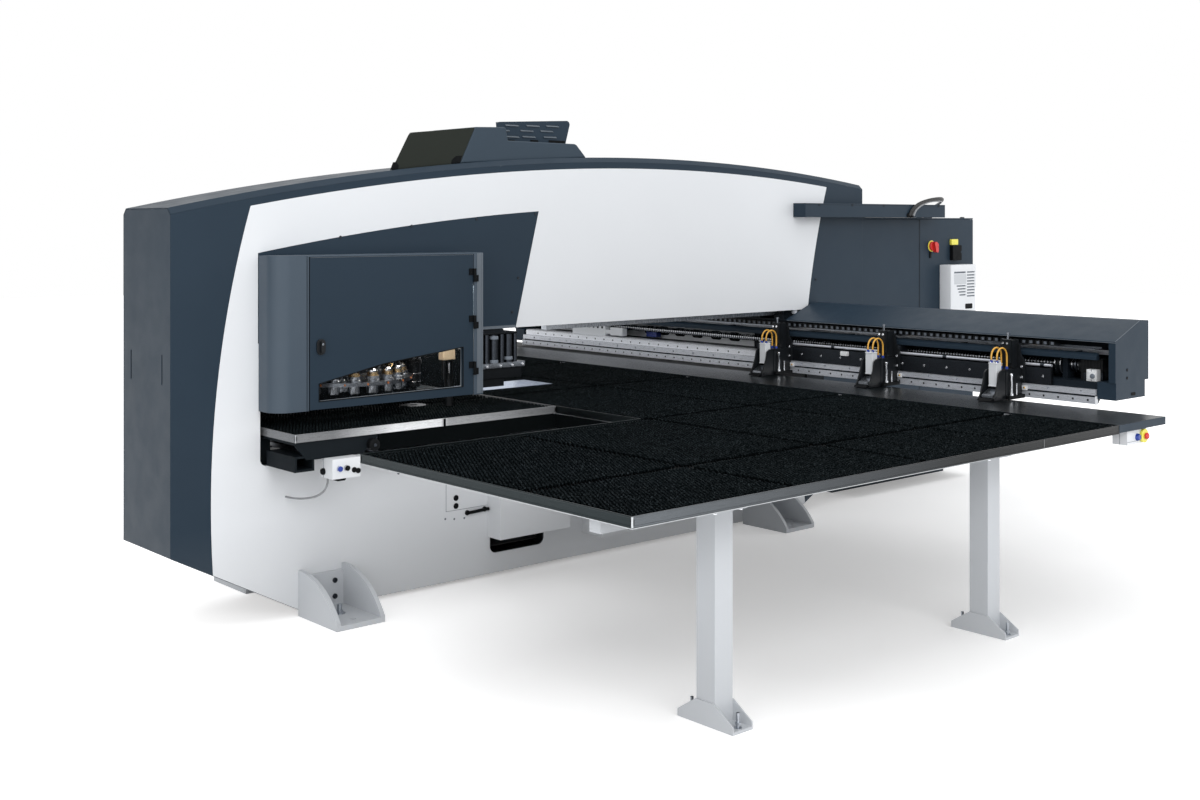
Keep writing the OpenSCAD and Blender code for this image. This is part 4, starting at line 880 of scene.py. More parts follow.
def head_outside():
    # Painted highlights: lighter strips along the door top and the cover's right edge, and a lighter lip on
    # the backing's lower edge
    parts = [block(-1.7705, -0.7975, COVER - 0.0012, COVER + 0.002, 1.7762, 1.7785),
             block(-0.7715, -0.7405, COVER - 0.0022, COVER + 0.001, 1.040, 1.785),
             block(-0.744, -0.7335, COVER - 0.0045, COVER + 0.001, 1.040, 1.785)]
    assemble("cover_highlight_strips", parts, SLATE_LIGHT, 0.0012)
    lip = plate([(SKIN - 0.0005, 1.3612), (SKIN - 0.012, 1.3612), (SKIN - 0.012, 1.3650),
                 (SKIN - 0.0035, 1.3668), (SKIN - 0.0035, 1.376), (SKIN - 0.0005, 1.376)],
                -0.728, -0.384, "X")
    assemble("backing_lip", [lip], SLATE_LIGHT, 0.0006)
    # Joint between cover and door, and the cover's rolled left corner seam
    seams = [block(-1.7745, -1.7725, COVER - 0.0008, COVER + 0.004, 1.036, 1.780),
             block(-1.7895, -1.7865, COVER - 0.0012, COVER + 0.001, 1.036, 1.786)]
    assemble("cover_seams", seams, SLATE_DARK)

    # Window: rubber gasket outside, thin bead inside
    corners = [(-1.722, 1.075), (-0.862, 1.083), (-0.862, 1.291), (-1.350, 1.235), (-1.722, 1.161)]
    for name, depth, radius, finish in (("window_gasket", -0.0005, 0.0035, MATT),
                                        ("window_bead", 0.0195, 0.003, SLATE_LIGHT)):
        loop = bead([(x, COVER + depth, z) for x, z in corners], radius, closed=True)
        assemble(name, [loop], finish, body="head_door", slot="black_plastic", smooth=60)
    # Door inside: stiffening frame
    ribs = [block(x0, x1, -0.419, -0.404, z0, z1)
            for x0, x1, z0, z1 in ((-1.755, -1.735, 1.06, 1.75), (-0.835, -0.815, 1.06, 1.75),
                                   (-1.735, -0.835, 1.725, 1.75), (-1.735, -0.835, 1.36, 1.38))]
    assemble("door_ribs", ribs, SLATE_DARK, 0.0015, body="head_door")

    # Quarter-turn lock
    x, z = -1.713, 1.341
    parts = [tile(x - 0.024, x + 0.024, z - 0.038, z + 0.038, 0.022, -0.447, -0.4393, steps=6),
             tile(x - 0.009, x + 0.009, z - 0.030, z + 0.030, 0.008, -0.463, -0.446, steps=4),
             rod((x, -0.446, z), (x, -0.411, z), 0.008, 24),
             tile(x - 0.050, x + 0.009, z - 0.009, z + 0.009, 0.006, -0.417, -0.411, steps=3)]
    assemble("quarter_turn_lock", parts, GUARD, 0.001, body="door_lock", stands_for=("door_lock",))
    cap = turned([(0.006, 0), (0.006, 0.001), (0.004, 0.0025)], (x, -0.4628, z + 0.014), (0, -1, 0), 20)
    assemble("lock_cap", [cap], RING_STEEL, body="door_lock")


def head_inside():
    # Tool holders: turned body, spring over the shank, bright cap
    x, y = CAROUSEL[0] + STATION_R, CAROUSEL[1]
    body = turned([(0.018, 1.0655), (0.020, 1.067), (0.0295, 1.080), (0.0298, 1.1400), (0.0375, 1.1406),
                   (0.0378, 1.1475), (0.036, 1.150), (0.036, 1.162), (0.0375, 1.1645), (0.0375, 1.166),
                   (0.022, 1.1665), (0.022, 1.186)], (x, y, 0), sides=28)
    assemble("holder_bodies", round_stations(body), BRIGHT, body="tool_carousel",
             stands_for=("tool_holders",))
    cap = turned([(0.022, 1.1855), (0.0265, 1.1865), (0.0265, 1.196), (0.020, 1.202), (0.010, 1.2022),
                  (0.009, 1.199)], (x, y, 0), sides=24)
    assemble("holder_caps", round_stations(cap), CHROME, body="tool_carousel")
    coil = joined([hoop((x, y, 1.1690 + 0.0048 * k), (0.05, 0, 1), 0.0268, 0.0020, 20, 6)
                   for k in range(4)])
    assemble("holder_springs", round_stations(coil), SPRING, body="tool_carousel", smooth=60)
    turns = [STATION_TURN * (i + 0.5) for i in range(STATIONS)]
    screws = spread(screw((0, 0, 0), (0, 0, 1), 0.008, 0.006, 10),
                    [(CAROUSEL[0] + 0.268 * math.cos(turn), 0.268 * math.sin(turn), 1.140)
                     for turn in turns])
    assemble("ring_screws", screws, CHROME, body="tool_carousel")
    # Marker plugs on the rim
    plug = rod((CAROUSEL[0] + 0.379, 0, 1.130), (CAROUSEL[0] + 0.3835, 0, 1.130), 0.006, 14, 0.005)
    assemble("rim_plugs", round_stations(plug, 0.5), ORANGE, body="tool_carousel")

    # Bright clamping rings of the die holders
    ring = turned([(0.0345, 0.8605), (0.0352, 0.8615), (0.0352, 0.868), (0.031, 0.8705), (0.024, 0.8705),
                   (0.022, 0.866)], (x, 0, 0), sides=24)
    assemble("die_rings", round_stations(ring), CHROME, body="die_carousel")

    # Chuck block, ram and punch
    chuck = turned([(0.056, 1.2305), (0.058, 1.2325), (0.058, 1.250), (0.0555, 1.2515), (0.0555, 1.2545),
                    (0.058, 1.256), (0.058, 1.288), (0.0565, 1.2895)], RAM + (0,), sides=48)
    holes = joined([rod((RAM[0] + 0.046 * math.cos(a), 0.046 * math.sin(a), 1.225),
                        (RAM[0] + 0.046 * math.cos(a), 0.046 * math.sin(a), 1.242), 0.005, 12)
                    for a in (math.radians(60 * k) for k in range(6))])
    assemble("chuck_block", [cut(chuck, holes)], CREAM, 0.0006, body="ram", stands_for=("ram_chuck",))
    punch = turned([(0.016, 0.9755), (0.018, 0.978), (0.018, 1.044), (0.034, 1.046), (0.0375, 1.050),
                    (0.038, 1.120), (0.038, 1.1695), (0.0435, 1.1705), (0.044, 1.173), (0.044, 1.192),
                    (0.0425, 1.1945), (0.038, 1.1955), (0.038, 1.226), (0.036, 1.2295)],
                   RAM + (0,), sides=40)
    assemble("punch_body", [punch], GUARD, body="ram", slot="dark_steel", stands_for=("active_punch",))
    bands = [hoop((RAM[0], 0, z), (0, 0, 1), 0.0385, 0.0016, 40, 6) for z in (1.075, 1.12, 1.205, 1.218)]
    assemble("punch_bands", bands, CHROME, body="ram", smooth=60)

    # Frame side of the head: tool guide block on its posts, and a near-black guard behind the tools that
    # stands in as painted shade
    guide = [block(-0.850, -0.772, -0.245, -0.195, 1.205, 1.300),
             block(-0.960, -0.772, -0.215, -0.185, 1.295, 1.338)]
    assemble("guide_block", guide, CREAM, 0.004, segments=3)
    posts = [rod((-0.795, -0.215, 0.955), (-0.795, -0.215, 1.205), 0.022, 28),
             rod((-0.842, -0.235, 1.10), (-0.842, -0.235, 1.205), 0.012, 20)]
    assemble("guide_posts", posts, GUARD, 0.001, slot="dark_steel")
    guard = [block(-1.948, -0.730, 0.2600, 0.2660, 0.966, 1.3605),
             block(-1.9485, -1.9445, -0.250, 0.260, 0.966, 1.3605)]
    assemble("head_guard", guard, INNER)
    lights = [rod((-0.812, -0.2425, 1.135), (-0.812, -0.2425, 1.190), 0.006, 16),
              turned([(0.02, 0), (0.02, 0.006), (0.014, 0.010)], (-0.795, -0.215, 0.965), (0, 0, 1), 20)]
    assemble("guide_glints", lights, CHROME)


def table_details():
    # Brush panels: boards with staggered tufts; a panel is set out once and filled
    across, along = 0.018, 0.0156

    def tufted(x0, x1, y0, y1):
        edge = 0.009
        count = int((x1 - x0 - 2 * edge) / across)
        rows = int((y1 - y0 - 2 * edge) / (2 * along))
        ops.mesh.primitive_cone_add(vertices=4, radius1=0.0036, radius2=0.0064, depth=0.020,
                                    location=(x0 + edge, y0 + edge, 0.941))
        first = repeated(settle(bpy.context.object), count, (across, 0, 0))
        second = copy_at(first, (across / 2, along, 0))
        return repeated(joined([first, second]), rows, (0, 2 * along, 0))

    def panels(columns, y0, y1):
        """Boards and their tufts between the columns."""
        made = []
        for x0, x1 in zip(columns, columns[1:]):
            place = (x0 + gap / 2, x1 - gap / 2, y0 + gap / 2, y1 - gap / 2)
            boards.append(block(*place, MAT, BOARD_TOP))
            made.append(tufted(*place))
        return made

    seam_x, seam_y, gap = -0.290, -2.355, 0.006
    near_columns = [LEFT + 0.010, -1.133, seam_x, 0.491, PLATE]
    side_columns = [STEP + 0.010, 0.4705, PLATE]
    head_columns = [-1.920, -1.1365, -0.353]
    head_y, tier_y = 0.568, 1.256
    boards = []
    for group, columns, y0, y1 in (("brush_near_outer", near_columns, -REACH + 0.012, seam_y),
                                   ("brush_near_inner", near_columns, seam_y, -tier_y),
                                   ("brush_near_middle", side_columns, -tier_y, -0.002),
                                   ("brush_far_middle", side_columns, 0.002, tier_y),
                                   ("brush_far_inner", side_columns, tier_y, -seam_y),
                                   ("brush_far_outer", side_columns, -seam_y, REACH - 0.012)):
        boards.append(block(columns[0], columns[-1], y0, y1, MAT + 0.0002, MAT + 0.0014))
        fields = panels(columns, y0, y1)
        dishevel(fields)
        assemble(group, fields, BRISTLE, smooth=20, stands_for=("table_mats",))
    boards.append(block(head_columns[0], head_columns[-1], -head_y, head_y, MAT + 0.0002, MAT + 0.0014))
    fields = []
    for pair in zip(head_columns, head_columns[1:]):
        fields += panels(pair, -head_y, 0.0) + panels(pair, 0.0, head_y)
    # No tufts round the die
    whole = joined(fields)
    edit(whole, False)
    leave()
    for corner in whole.data.vertices:
        corner.select = math.hypot(corner.co.x - RAM[0], corner.co.y) < 0.092
    only(whole)
    ops.object.mode_set(mode="EDIT")
    ops.mesh.select_linked()
    ops.mesh.delete(type="VERT")
    leave()
    dishevel([whole])
    assemble("brush_head", [whole], BRISTLE, smooth=20, stands_for=("table_mats",))
    all_boards = joined(boards)
    cut(all_boards, rod(RAM + (0.90,), RAM + (0.96,), 0.082, 48))
    assemble("brush_boards", [all_boards], MATT, slot="brush_black", stands_for=("table_mats",))

    # Folded trims with a rolled top, and a lower lip made bright as a painted highlight
    fold = [(-0.010, 0.9105), (0.0012, 0.9105), (0.0012, 0.9165), (0.0, 0.918), (0.0, 0.9435),
            (0.0012, 0.9450), (0.0012, 0.9490), (0.0, 0.950), (-0.0035, 0.950), (-0.0045, 0.9480),
            (-0.0045, 0.940), (-0.010, 0.940)]
    trim_left, trim_right, trim_y = -1.930, -0.343, 0.580
    for name, finish, edges in (
            ("trims_along_x", TRIM_X,
             [("X", -REACH, -1, LEFT, 0.5905), ("X", -REACH, -1, 0.5915, PLATE),
              ("X", REACH - 0.0014, 1, STEP, PLATE)]),
            ("trims_along_y", TRIM_Y,
             [("Y", LEFT, -1, -REACH, STEP_Y), ("Y", STEP, -1, STEP_Y - 0.010, -0.5803),
              ("Y", STEP, -1, 0.5803, REACH), ("X", STEP_Y, 1, LEFT, STEP)]),
            ("head_table_trims", HEAD_TRIM,
             [("X", -trim_y, -1, trim_left, trim_right), ("X", trim_y, 1, trim_left, trim_right),
              ("Y", trim_left, -1, -trim_y, trim_y), ("Y", trim_right, 1, -trim_y, trim_y)])):
        strips = [plate([(edge + out * t, z) for t, z in fold], start, end, axis)
                  for axis, edge, out, start, end in edges]
        assemble(name, strips, finish, 0.0004, slot="trim_aluminium", segments=1,
                 stands_for=("table_trims",))
    # Lower lips and corner posts lighter than the trims: painted highlights
    lips = [block(LEFT, PLATE, -REACH - 0.0015, -REACH + 0.014, 0.9060, 0.9095),
            block(LEFT - 0.0015, LEFT + 0.014, -REACH, STEP_Y, 0.9060, 0.9095),
            block(LEFT - 0.0018, LEFT + 0.004, -REACH - 0.0018, -REACH + 0.004, 0.9105, 0.949),
            block(-1.931, -1.927, -0.5815, -0.577, 0.9105, 0.949)]
    assemble("trim_lip_highlights", lips, LIT_LIP, 0.001)
    marks = [block(0.5895, 0.5925, -REACH - 0.0016, -REACH + 0.002, 0.9105, 0.949)]
    assemble("trim_joint", marks, LIT_LIP)
    ends = [block(PLATE + 0.0005, 1.7415, -REACH - 0.0018, -REACH - 0.0002, 0.9105, 0.9495)]
    assemble("side_end_plate", ends, SLATE, 0.0006)
    # Near-black aprons under the head table: painted shade that hides the space beneath it
    aprons = [block(-1.470, -0.345, -0.5785, -0.566, 0.830, 0.9045),
              block(-0.3455, -0.334, -1.243, -0.566, 0.8300, 0.9045),
              block(-1.085, -1.079, -0.5915, -0.5790, 0.9105, 0.9485)]
    assemble("table_aprons", aprons, SHADE_BLACK)
    screws = [turned([(0.0058, 0.9455), (0.0058, 0.9492), (0.0045, 0.9498)],
                     (x, -2.885 + 0.2 * k, 0), sides=10) for x in (1.312, 1.542) for k in range(14)]
    screws += [far_copy(s) for s in list(screws)]
    assemble("side_plate_screws", screws, CHROME)

    # Screws of the leg heads, and washers of the levelling screws
    heads = spread(screw((0, 0, 0), (0, 0, -1), 0.008, 0.006),
                   [(x + dx, y + dy, 0.8372) for x, y in LEGS for dx in (-0.072, 0.072)
                    for dy in (-0.072, 0.072)])
    assemble("leg_head_screws", heads, CHROME)
    washers = [turned([(0.016, 0.0122), (0.016, 0.0145), (0.012, 0.016)], (x, y + s * 0.124, 0), sides=20)
               for x, y in LEGS for s in (-1, 1)]
    assemble("leg_washers", washers, BRIGHT)

    # Round roller under the near edge of the head table
    roller = turned([(0.026, 0), (0.030, 0.003), (0.030, 0.030), (0.024, 0.034)],
                    (-1.507, -0.571, 0.861), (0, -1, 0))
    assemble("console_roller", [roller], MATT)
    pin = turned([(0.008, 0), (0.008, 0.003), (0.005, 0.006)], (-1.507, -0.6045, 0.861), (0, -1, 0), 20)
    assemble("roller_pin", [pin], DARK_STEEL, slot="bright_steel")


def dishevel(fields):
    """Bristle tips stand a little uneven."""
    for field in fields:
        for corner in field.data.vertices:
            if corner.co.z > 0.945:
                corner.co.x += random.uniform(-0.0011, 0.0011)
                corner.co.y += random.uniform(-0.0011, 0.0011)
                corner.co.z += random.uniform(-0.0022, 0.0008)


def boxes():
    # Left control box: sockets, gland and buttons
    discs = [turned([(0.013, 0), (0.013, 0.004), (0.010, 0.007)], (x, -0.640, z), (0, -1, 0), 24)
             for x, z in ((-1.648, 0.762), (-1.626, 0.756))]
    discs.append(turned([(0.016, 0), (0.016, 0.008), (0.012, 0.014)], (-1.766, -0.560, 0.757),
                        (-1, 0, 0), 24))
    discs.append(plate(rounded([(-1.742, 0.716, 0.008), (-1.690, 0.716, 0.008), (-1.690, 0.7268, 0.002),
                                (-1.742, 0.7268, 0.002)], 3), -0.636, -0.600))
    assemble("box_sockets", discs, MATT)
    rims = [hoop((x, -0.6405, 0.775), (0, 1, 0), 0.0145, 0.0014, 24, 6) for x in (-1.728, -1.688)]
    assemble("button_rims", rims, CHROME, smooth=60)
    for cad, x, finish, slot in (("start_button", -1.728, BLUE, "blue_plastic"),
                                 ("stop_button", -1.688, MATT, "black_plastic")):
        cap = turned([(0.006, -0.016), (0.006, 0.004), (0.012, 0.0045), (0.013, 0.006), (0.013, 0.0105),
                      (0.0115, 0.0118)], (x, -0.640, 0.775), (0, -1, 0), 28)
        assemble(cad + "_cap", [cap], finish, body=cad, slot=slot, stands_for=(cad,))
    # Lid joints of both boxes
    seams = [bead([(-1.7665, -0.556, 0.728), (-1.7665, -0.556, 0.8205)], 0.0012),
             bead([(1.3885, -2.915, 0.835), (1.3885, -2.915, 0.909)], 0.0012),
             bead([(1.389, -2.9555, 0.849), (1.580, -2.9555, 0.849)], 0.0010)]
    assemble("box_seams", seams, SHADOW_GREY, smooth=60)
    # Right box: emergency button in its yellow collar and a key switch
    collar = turned([(0.032, -0.006), (0.035, -0.004), (0.035, 0.007), (0.024, 0.0090)],
                    (1.545, -2.9612, 0.870), (0, -1, 0), 36)
    assemble("stop_collar", [collar], YELLOW)
    knob = turned([(0.008, -0.014), (0.008, 0.0155), (0.012, 0.0165), (0.0165, 0.020), (0.0165, 0.026),
                   (0.013, 0.0305), (0.006, 0.0315)], (1.545, -2.955, 0.870), (0, -1, 0), 36)
    assemble("stop_knob", [knob], RED, body="emergency_button", stands_for=("emergency_button",))
    key = [turned([(0.018, 0), (0.018, 0.008), (0.013, 0.016)], (1.487, -2.955, 0.868), (0, -1, 0), 24)]
    assemble("key_switch", key, BLUE)


def cabinet_details():
    # Cooling unit with louvres cut into its front, and a small display
    front = -0.356
    shell = eased(block(3.651, 3.974, front, -0.2503, 0.900, 1.630), 0.008, 3)
    slots = [(3.855, 3.957, 0.010, 1.568 - 0.0225 * k, 1.578 - 0.0225 * k) for k in range(9)]
    slots.append((3.690, 3.842, 0.010, 1.566, 1.579))
    slots += [(3.722 + 0.012 * k, 3.842, 0.010, 1.466 - 0.0225 * k, 1.476 - 0.0225 * k) for k in range(4)]
    slots += [(3.690, 3.957, 0.008, 0.955 + 0.024 * k, 0.965 + 0.024 * k) for k in range(8)]
    tools = [block(x0, x1, front - 0.01, front + deep, z0, z1) for x0, x1, deep, z0, z1 in slots]
    assemble("cooling_unit", [cut(shell, joined(tools))], WHITE, body="cabinet_door_right",
             stands_for=("air_conditioner",))
    backs = [block(3.853, 3.959, front + 0.0085, front + 0.0098, 1.384, 1.582),
             block(3.688, 3.844, front + 0.0085, front + 0.0098, 1.563, 1.582),
             block(3.718, 3.844, front + 0.0085, front + 0.0098, 1.396, 1.480),
             block(3.688, 3.959, front + 0.0065, front + 0.0078, 0.950, 1.140)]
    assemble("cooling_mesh", backs, SHADOW_GREY, body="cabinet_door_right")
    recess = tile(3.690, 3.845, 1.485, 1.560, 0.006, front - 0.0016, front + 0.002, steps=3)
    assemble("cooling_panel", [recess], GREY, 0.0006, body="cabinet_door_right")
    screen = tile(3.832, 3.922, 1.298, 1.336, 0.008, front - 0.003, front + 0.002, steps=4)
    assemble("cooling_display", [screen], MATT, 0.0008, body="cabinet_door_right")

    # Main switch: yellow ring, red knob with its grip, black hasp below
    x, z, y = 3.550, 1.771, -0.250
    ring = turned([(0.040, 0.0003), (0.042, 0.002), (0.042, 0.005), (0.038, 0.0058)], (x, y, z),
                  (0, -1, 0), 40)
    hole = rod((x, y - 0.01, z), (x, y + 0.002, z), 0.009, 24)
    assemble("switch_ring", [cut(ring, hole)], YELLOW, body="cabinet_door_right",
             stands_for=("cabinet_fittings",))
    knob = [turned([(0.008, -0.030), (0.008, 0.006), (0.033, 0.0068), (0.035, 0.009), (0.035, 0.020),
                    (0.030, 0.024)], (x, y, z), (0, -1, 0), 40),
            plate(rounded([(x - 0.002, z - 0.040, 0.012), (x + 0.030, z - 0.058, 0.014),
                           (x + 0.030, z + 0.016, 0.014), (x + 0.004, z + 0.034, 0.014),
                           (x - 0.026, z + 0.024, 0.012), (x - 0.012, z + 0.002, 0.005)], 4),
                  y - 0.048, y - 0.018)]
    assemble("switch_knob", knob, RED, 0.002, body="main_switch", stands_for=("main_switch",))
    hasp = plate(rounded([(x - 0.024, z - 0.088, 0.005), (x - 0.006, z - 0.088, 0.005),
                          (x - 0.002, z - 0.040, 0.003), (x - 0.026, z - 0.040, 0.003)], 3),
                 y - 0.007, y - 0.0003)
    assemble("switch_hasp", [hasp], MATT, 0.001, body="cabinet_door_right")
    lamp = tile(3.785, 3.868, 1.777, 1.8205, 0.004, y - 0.020, y - 0.0003, steps=3)
    assemble("cabinet_lamp", [lamp], YELLOW, 0.002, body="cabinet_door_right",
             stands_for=("cabinet_fittings",))
    socket = plate(rounded([(3.785, 1.661, 0.006), (3.899, 1.661, 0.006), (3.899, 1.715, 0.004),
                            (3.884, 1.722, 0.004), (3.899, 1.732, 0.004), (3.899, 1.775, 0.006),
                            (3.785, 1.775, 0.006)], 3), y - 0.030, y - 0.0003)
    assemble("cabinet_socket", [socket], MATT, 0.002, body="cabinet_door_right",
             stands_for=("cabinet_fittings",))
    # Vertical fold on the left door and handle of the right one
    folds = [block(3.400, 3.4078, y - 0.0008, y + 0.002, 0.112, 1.966)]
    assemble("door_fold", folds, SLATE_DARK, body="cabinet_door_left")
    grip = tile(3.455, 3.480, 0.98, 1.16, 0.008, y - 0.012, y - 0.0003, steps=4)
    assemble("door_grip", [grip], MATT, 0.002, body="cabinet_door_right")
    # Base vents, lifting screws, and the glands at both ends of the cables
    vents = [block(2.80 + 0.02 * k, 2.808 + 0.02 * k, 0.0192, 0.0215, 0.030, 0.075) for k in range(20)]
    assemble("base_vents", vents, MATT)
    lugs = [turned([(0.018, 0), (0.018, 0.005), (0.011, 0.009)], (px, py, 1.980), sides=20)
            for px in (2.80, 4.02) for py in (-0.20, 0.20)]
    assemble("cabinet_lugs", lugs, DARK_STEEL)
    glands = [turned([(0.016, 0), (0.016, 0.006), (0.0125, 0.014), (0.0125, 0.020)],
                     (3.598 + 0.026 * i, -0.170, 1.980), sides=6) for i in range(3)]
    glands += [turned([(0.0155, 0), (0.0155, 0.004), (0.012, 0.008)], (3.136 - 0.024 * i, -0.380, 1.9975),
                      (0, -1, 0), sides=16) for i in range(3)]
    assemble("cable_glands", glands, MATT)
    rail = [block(2.735, 3.545, -0.246, -0.200, 1.9802, 1.9828)]
    assemble("cabinet_rail", rail, SLATE_DARK)
    # Duct: lid seam and clips
    seam = [block(1.970, 3.538, -0.3806, -0.379, 2.0655, 2.0675)]
    seam += [block(x, x + 0.018, -0.3815, -0.379, 2.058, 2.074) for x in (2.10, 2.45, 2.80, 3.15, 3.45)]
    assemble("duct_clips", seam, SLATE_DARK)


def beam_details():
    # Lower rail with its counterbored holes, on a dark backing
    rail = block(1.8662, 1.8858, -2.515, 2.515, 0.957, 0.9935)
    count, step = 56, (0, 0.0898, 0)
    holes = repeated(rod((1.860, -2.470, 0.976), (1.8702, -2.470, 0.976), 0.0068, 12), count, step)
    assemble("lower_rail", [cut(rail, holes)], BRIGHT_Y, 0.0012, body="beam")
    plug = turned([(0.0062, 0), (0.0062, 0.0012), (0.005, 0.002)], (1.8700, -2.470, 0.976), (-1, 0, 0), 10)
    assemble("rail_plugs", [repeated(plug, count, step)], MATT, body="beam")
    back = [plate([(1.8865, 0.957), (1.900, 0.957), (1.925, 0.985), (1.925, 0.9995), (1.8865, 0.9995)],
                  -2.515, 2.515)]
    assemble("rail_backing", back, SLATE_DARK, 0.0008, body="beam")
    ends = [block(1.862, 1.890, s * 2.517 - 0.002, s * 2.517 + 0.002, 0.953, 1.000) for s in (-1, 1)]
    assemble("rail_ends", ends, WHITE, 0.001, body="beam")

    # Energy chain on its tray, with a long cover strip below
    count, step = 104, (0, 0.045, 0)
    link = [block(1.902, 1.958, -2.250, -2.213, 1.2575, 1.2815),
            block(1.8995, 1.902, -2.245, -2.226, 1.2605, 1.2785)]
    chain = repeated(joined(link), count, step)
    assemble("chain_links", [chain], GUARD, body="beam")
    tabs = repeated(block(1.8978, 1.8992, -2.245, -2.228, 1.2615, 1.2775), count, step)
    assemble("chain_tabs", [tabs], SHADOW_GREY, body="beam")
    tray = [plate([(1.893, 1.2495), (1.966, 1.2495), (1.966, 1.262), (1.9645, 1.262), (1.9645, 1.2515),
                   (1.8945, 1.2515), (1.8945, 1.2575), (1.893, 1.2575)], -2.500, 2.515)]
    assemble("chain_tray", tray, RING_STEEL, 0.0004, body="beam", segments=1)
    bar = [plate(rounded([(1.905, 1.1925, 0.002), (1.936, 1.1925, 0.002), (1.936, 1.232, 0.002),
                          (1.921, 1.232, 0.002), (1.905, 1.214, 0.002)], 2), -2.500, 2.515)]
    assemble("cover_bar", bar, SLATE, 0.0006, body="beam", segments=1)
    hangers = [block(1.936, 2.132, y, y + 0.012, 1.195, 1.230)
               for y in (-2.35, -1.6, -0.75, 0.3, 1.2, 2.1)]
    assemble("bar_hangers", hangers, SLATE_DARK, 0.001, body="beam")

    # Far half made bright as painted light: strips and a white web plate with oval openings
    web = block(2.1215, 2.1295, 0.220, 2.500, 1.0765, 1.2135)
    middles = (0.408, 0.590, 0.780, 0.960, 1.130, 1.290)
    ovals = [tile(y - 0.060, y + 0.060, 1.100, 1.165, 0.03, 2.110, 2.1265, "X") for y in middles]
    floors = [tile(y - 0.058, y + 0.058, 1.102, 1.163, 0.029, 2.1240, 2.1262, "X") for y in middles]
    assemble("web_plate", [cut(web, joined(ovals))], WHITE, 0.001, body="beam")
    assemble("web_openings", floors, MATT, body="beam")
    strips = [block(1.8872, 1.8899, -0.200, 2.500, 1.0375, 1.0745),
              block(1.8920, 1.9900, -0.200, 2.500, 1.0752, 1.0790)]
    assemble("far_strips", strips, FAR_STEEL, 0.0006, body="beam", segments=1)
    units = [block(1.900, 1.960, 1.545, 1.934, 1.0800, 1.167),
             block(1.900, 1.950, 1.352, 1.490, 1.090, 1.150),
             block(1.902, 1.940, 1.490, 1.548, 1.100, 1.130)]
    assemble("valve_units", units, WHITE, 0.004, body="beam")
    taps = spread(turned([(0.009, 0), (0.009, 0.003), (0.006, 0.006)], (0, 0, 0), (-1, 0, 0), 16),
                  [(1.900, 1.58 + 0.05 * k, 1.145) for k in range(7)])
    assemble("valve_taps", taps, MATT, body="beam")
    pump = [block(2.062, 2.112, 1.150, 1.262, 1.085, 1.150)]
    assemble("line_unit", pump, BLUE, 0.005, body="beam")
    screws = spread(turned([(0.006, 0), (0.006, 0.0005), (0.0045, 0.0009)], (0, 0, 0), (-1, 0, 0), 10),
                    [(1.8872, 0.146 + 0.1 * k, 1.055) for k in range(23)])
    assemble("strip_screws", screws, MATT, body="beam")

    # Near end: bearing block, belt pulley, coupling flange and motor details
    seat_block = [block(1.905, 1.950, -2.500, -2.440, 1.0755, 1.140),
                  block(1.900, 1.905, -2.492, -2.450, 1.085, 1.130)]
    foot_block = [block(1.912, 1.946, -2.440, -2.418, 1.0755, 1.118),
                  block(1.9508, 2.000, -2.512, -2.460, 1.0755, 1.12)]
    assemble("bearing_foot", foot_block, DARK_STEEL, 0.003, body="beam")
    assemble("bearing_block", seat_block, PALE_PLASTIC, 0.004, body="beam", segments=3)
    parts = [turned([(0.014, 0), (0.014, 0.004), (0.009, 0.007)], (1.900, -2.480, 1.105), (-1, 0, 0), 20),
             block(1.9040, 1.9515, -2.472, -2.469, 1.078, 1.1412)]
    assemble("bearing_seals", parts, SHADOW_GREY, body="beam")
    pulley = turned([(0.060, 0), (0.065, 0.002), (0.065, 0.008), (0.058, 0.010), (0.058, 0.027),
                     (0.065, 0.029), (0.065, 0.035), (0.030, 0.036), (0.026, 0.046)],
                    (SCREW_X, -2.222, SCREW_Z), (0, -1, 0), 48)
    assemble("screw_pulley", [pulley], GUARD, body="beam_screw", slot="dark_steel")
    rims = [hoop((SCREW_X, y, SCREW_Z), (0, 1, 0), 0.0645, 0.0018, 48, 6) for y in (-2.2235, -2.2565)]
    assemble("pulley_rims", rims, CHROME, body="beam_screw", smooth=60)
    flange = [turned([(0.040, 0), (0.046, 0.003), (0.046, 0.013), (0.036, 0.016)],
                     (SCREW_X, -2.330, SCREW_Z), (0, -1, 0), 40)]
    flange += [screw((SCREW_X + 0.034 * math.cos(a), -2.346, SCREW_Z + 0.034 * math.sin(a)),
                     (0, -1, 0), 0.005, 0.004) for a in (math.radians(45 + 60 * k) for k in range(6))]
    assemble("coupling_flange", flange, RING_STEEL, body="beam_screw")
    fins = [cooling_fin(y) for y in (-2.495, -2.475, -2.455, -2.435, -2.415, -2.395)]
    assemble("motor_fins", fins, GUARD, 0.0008, body="beam", segments=1)
    # Cover ends: seams, plugs and the oval of the lower box
    plugs = [turned([(0.009, 0), (0.009, 0.0012), (0.006, 0.002)], (1.998, s * 2.629, z), (0, s, 0), 20)
             for s in (-1, 1) for z in (1.144, 1.100)]
    assemble("cover_plugs", plugs, MATT, body="beam")
    oval = tile(2.040, 2.088, 1.000, 1.018, 0.008, -2.6305, -2.6285, steps=4)
    assemble("box_ovals", [oval, far_copy(oval)], MATT, body="beam")
    # Rims in lighter slate along the cover edges, as painted highlights
    rims = [block(1.8725, 1.8765, s * 1.4645 - 1.1645, s * 1.4645 + 1.1645, 1.2955, 1.2992)
            for s in (-1, 1)]
    rims += [plate([(1.8755, 1.3035), (2.140, 1.4055), (2.140, 1.4065), (1.8755, 1.3045)],
                   s * 2.6265 - 0.002, s * 2.6265 + 0.002) for s in (-1, 1)]
    assemble("cover_rims", rims, SLATE_LIGHT, 0.0006, body="beam", segments=1)


def cooling_fin(y):
    """Square frame round the motor."""
    fin = block(1.951, 2.069, y - 0.003, y + 0.003, 1.0758, 1.199)
    return cut(fin, block(1.956, 2.064, y - 0.01, y + 0.01, 1.070, 1.194))


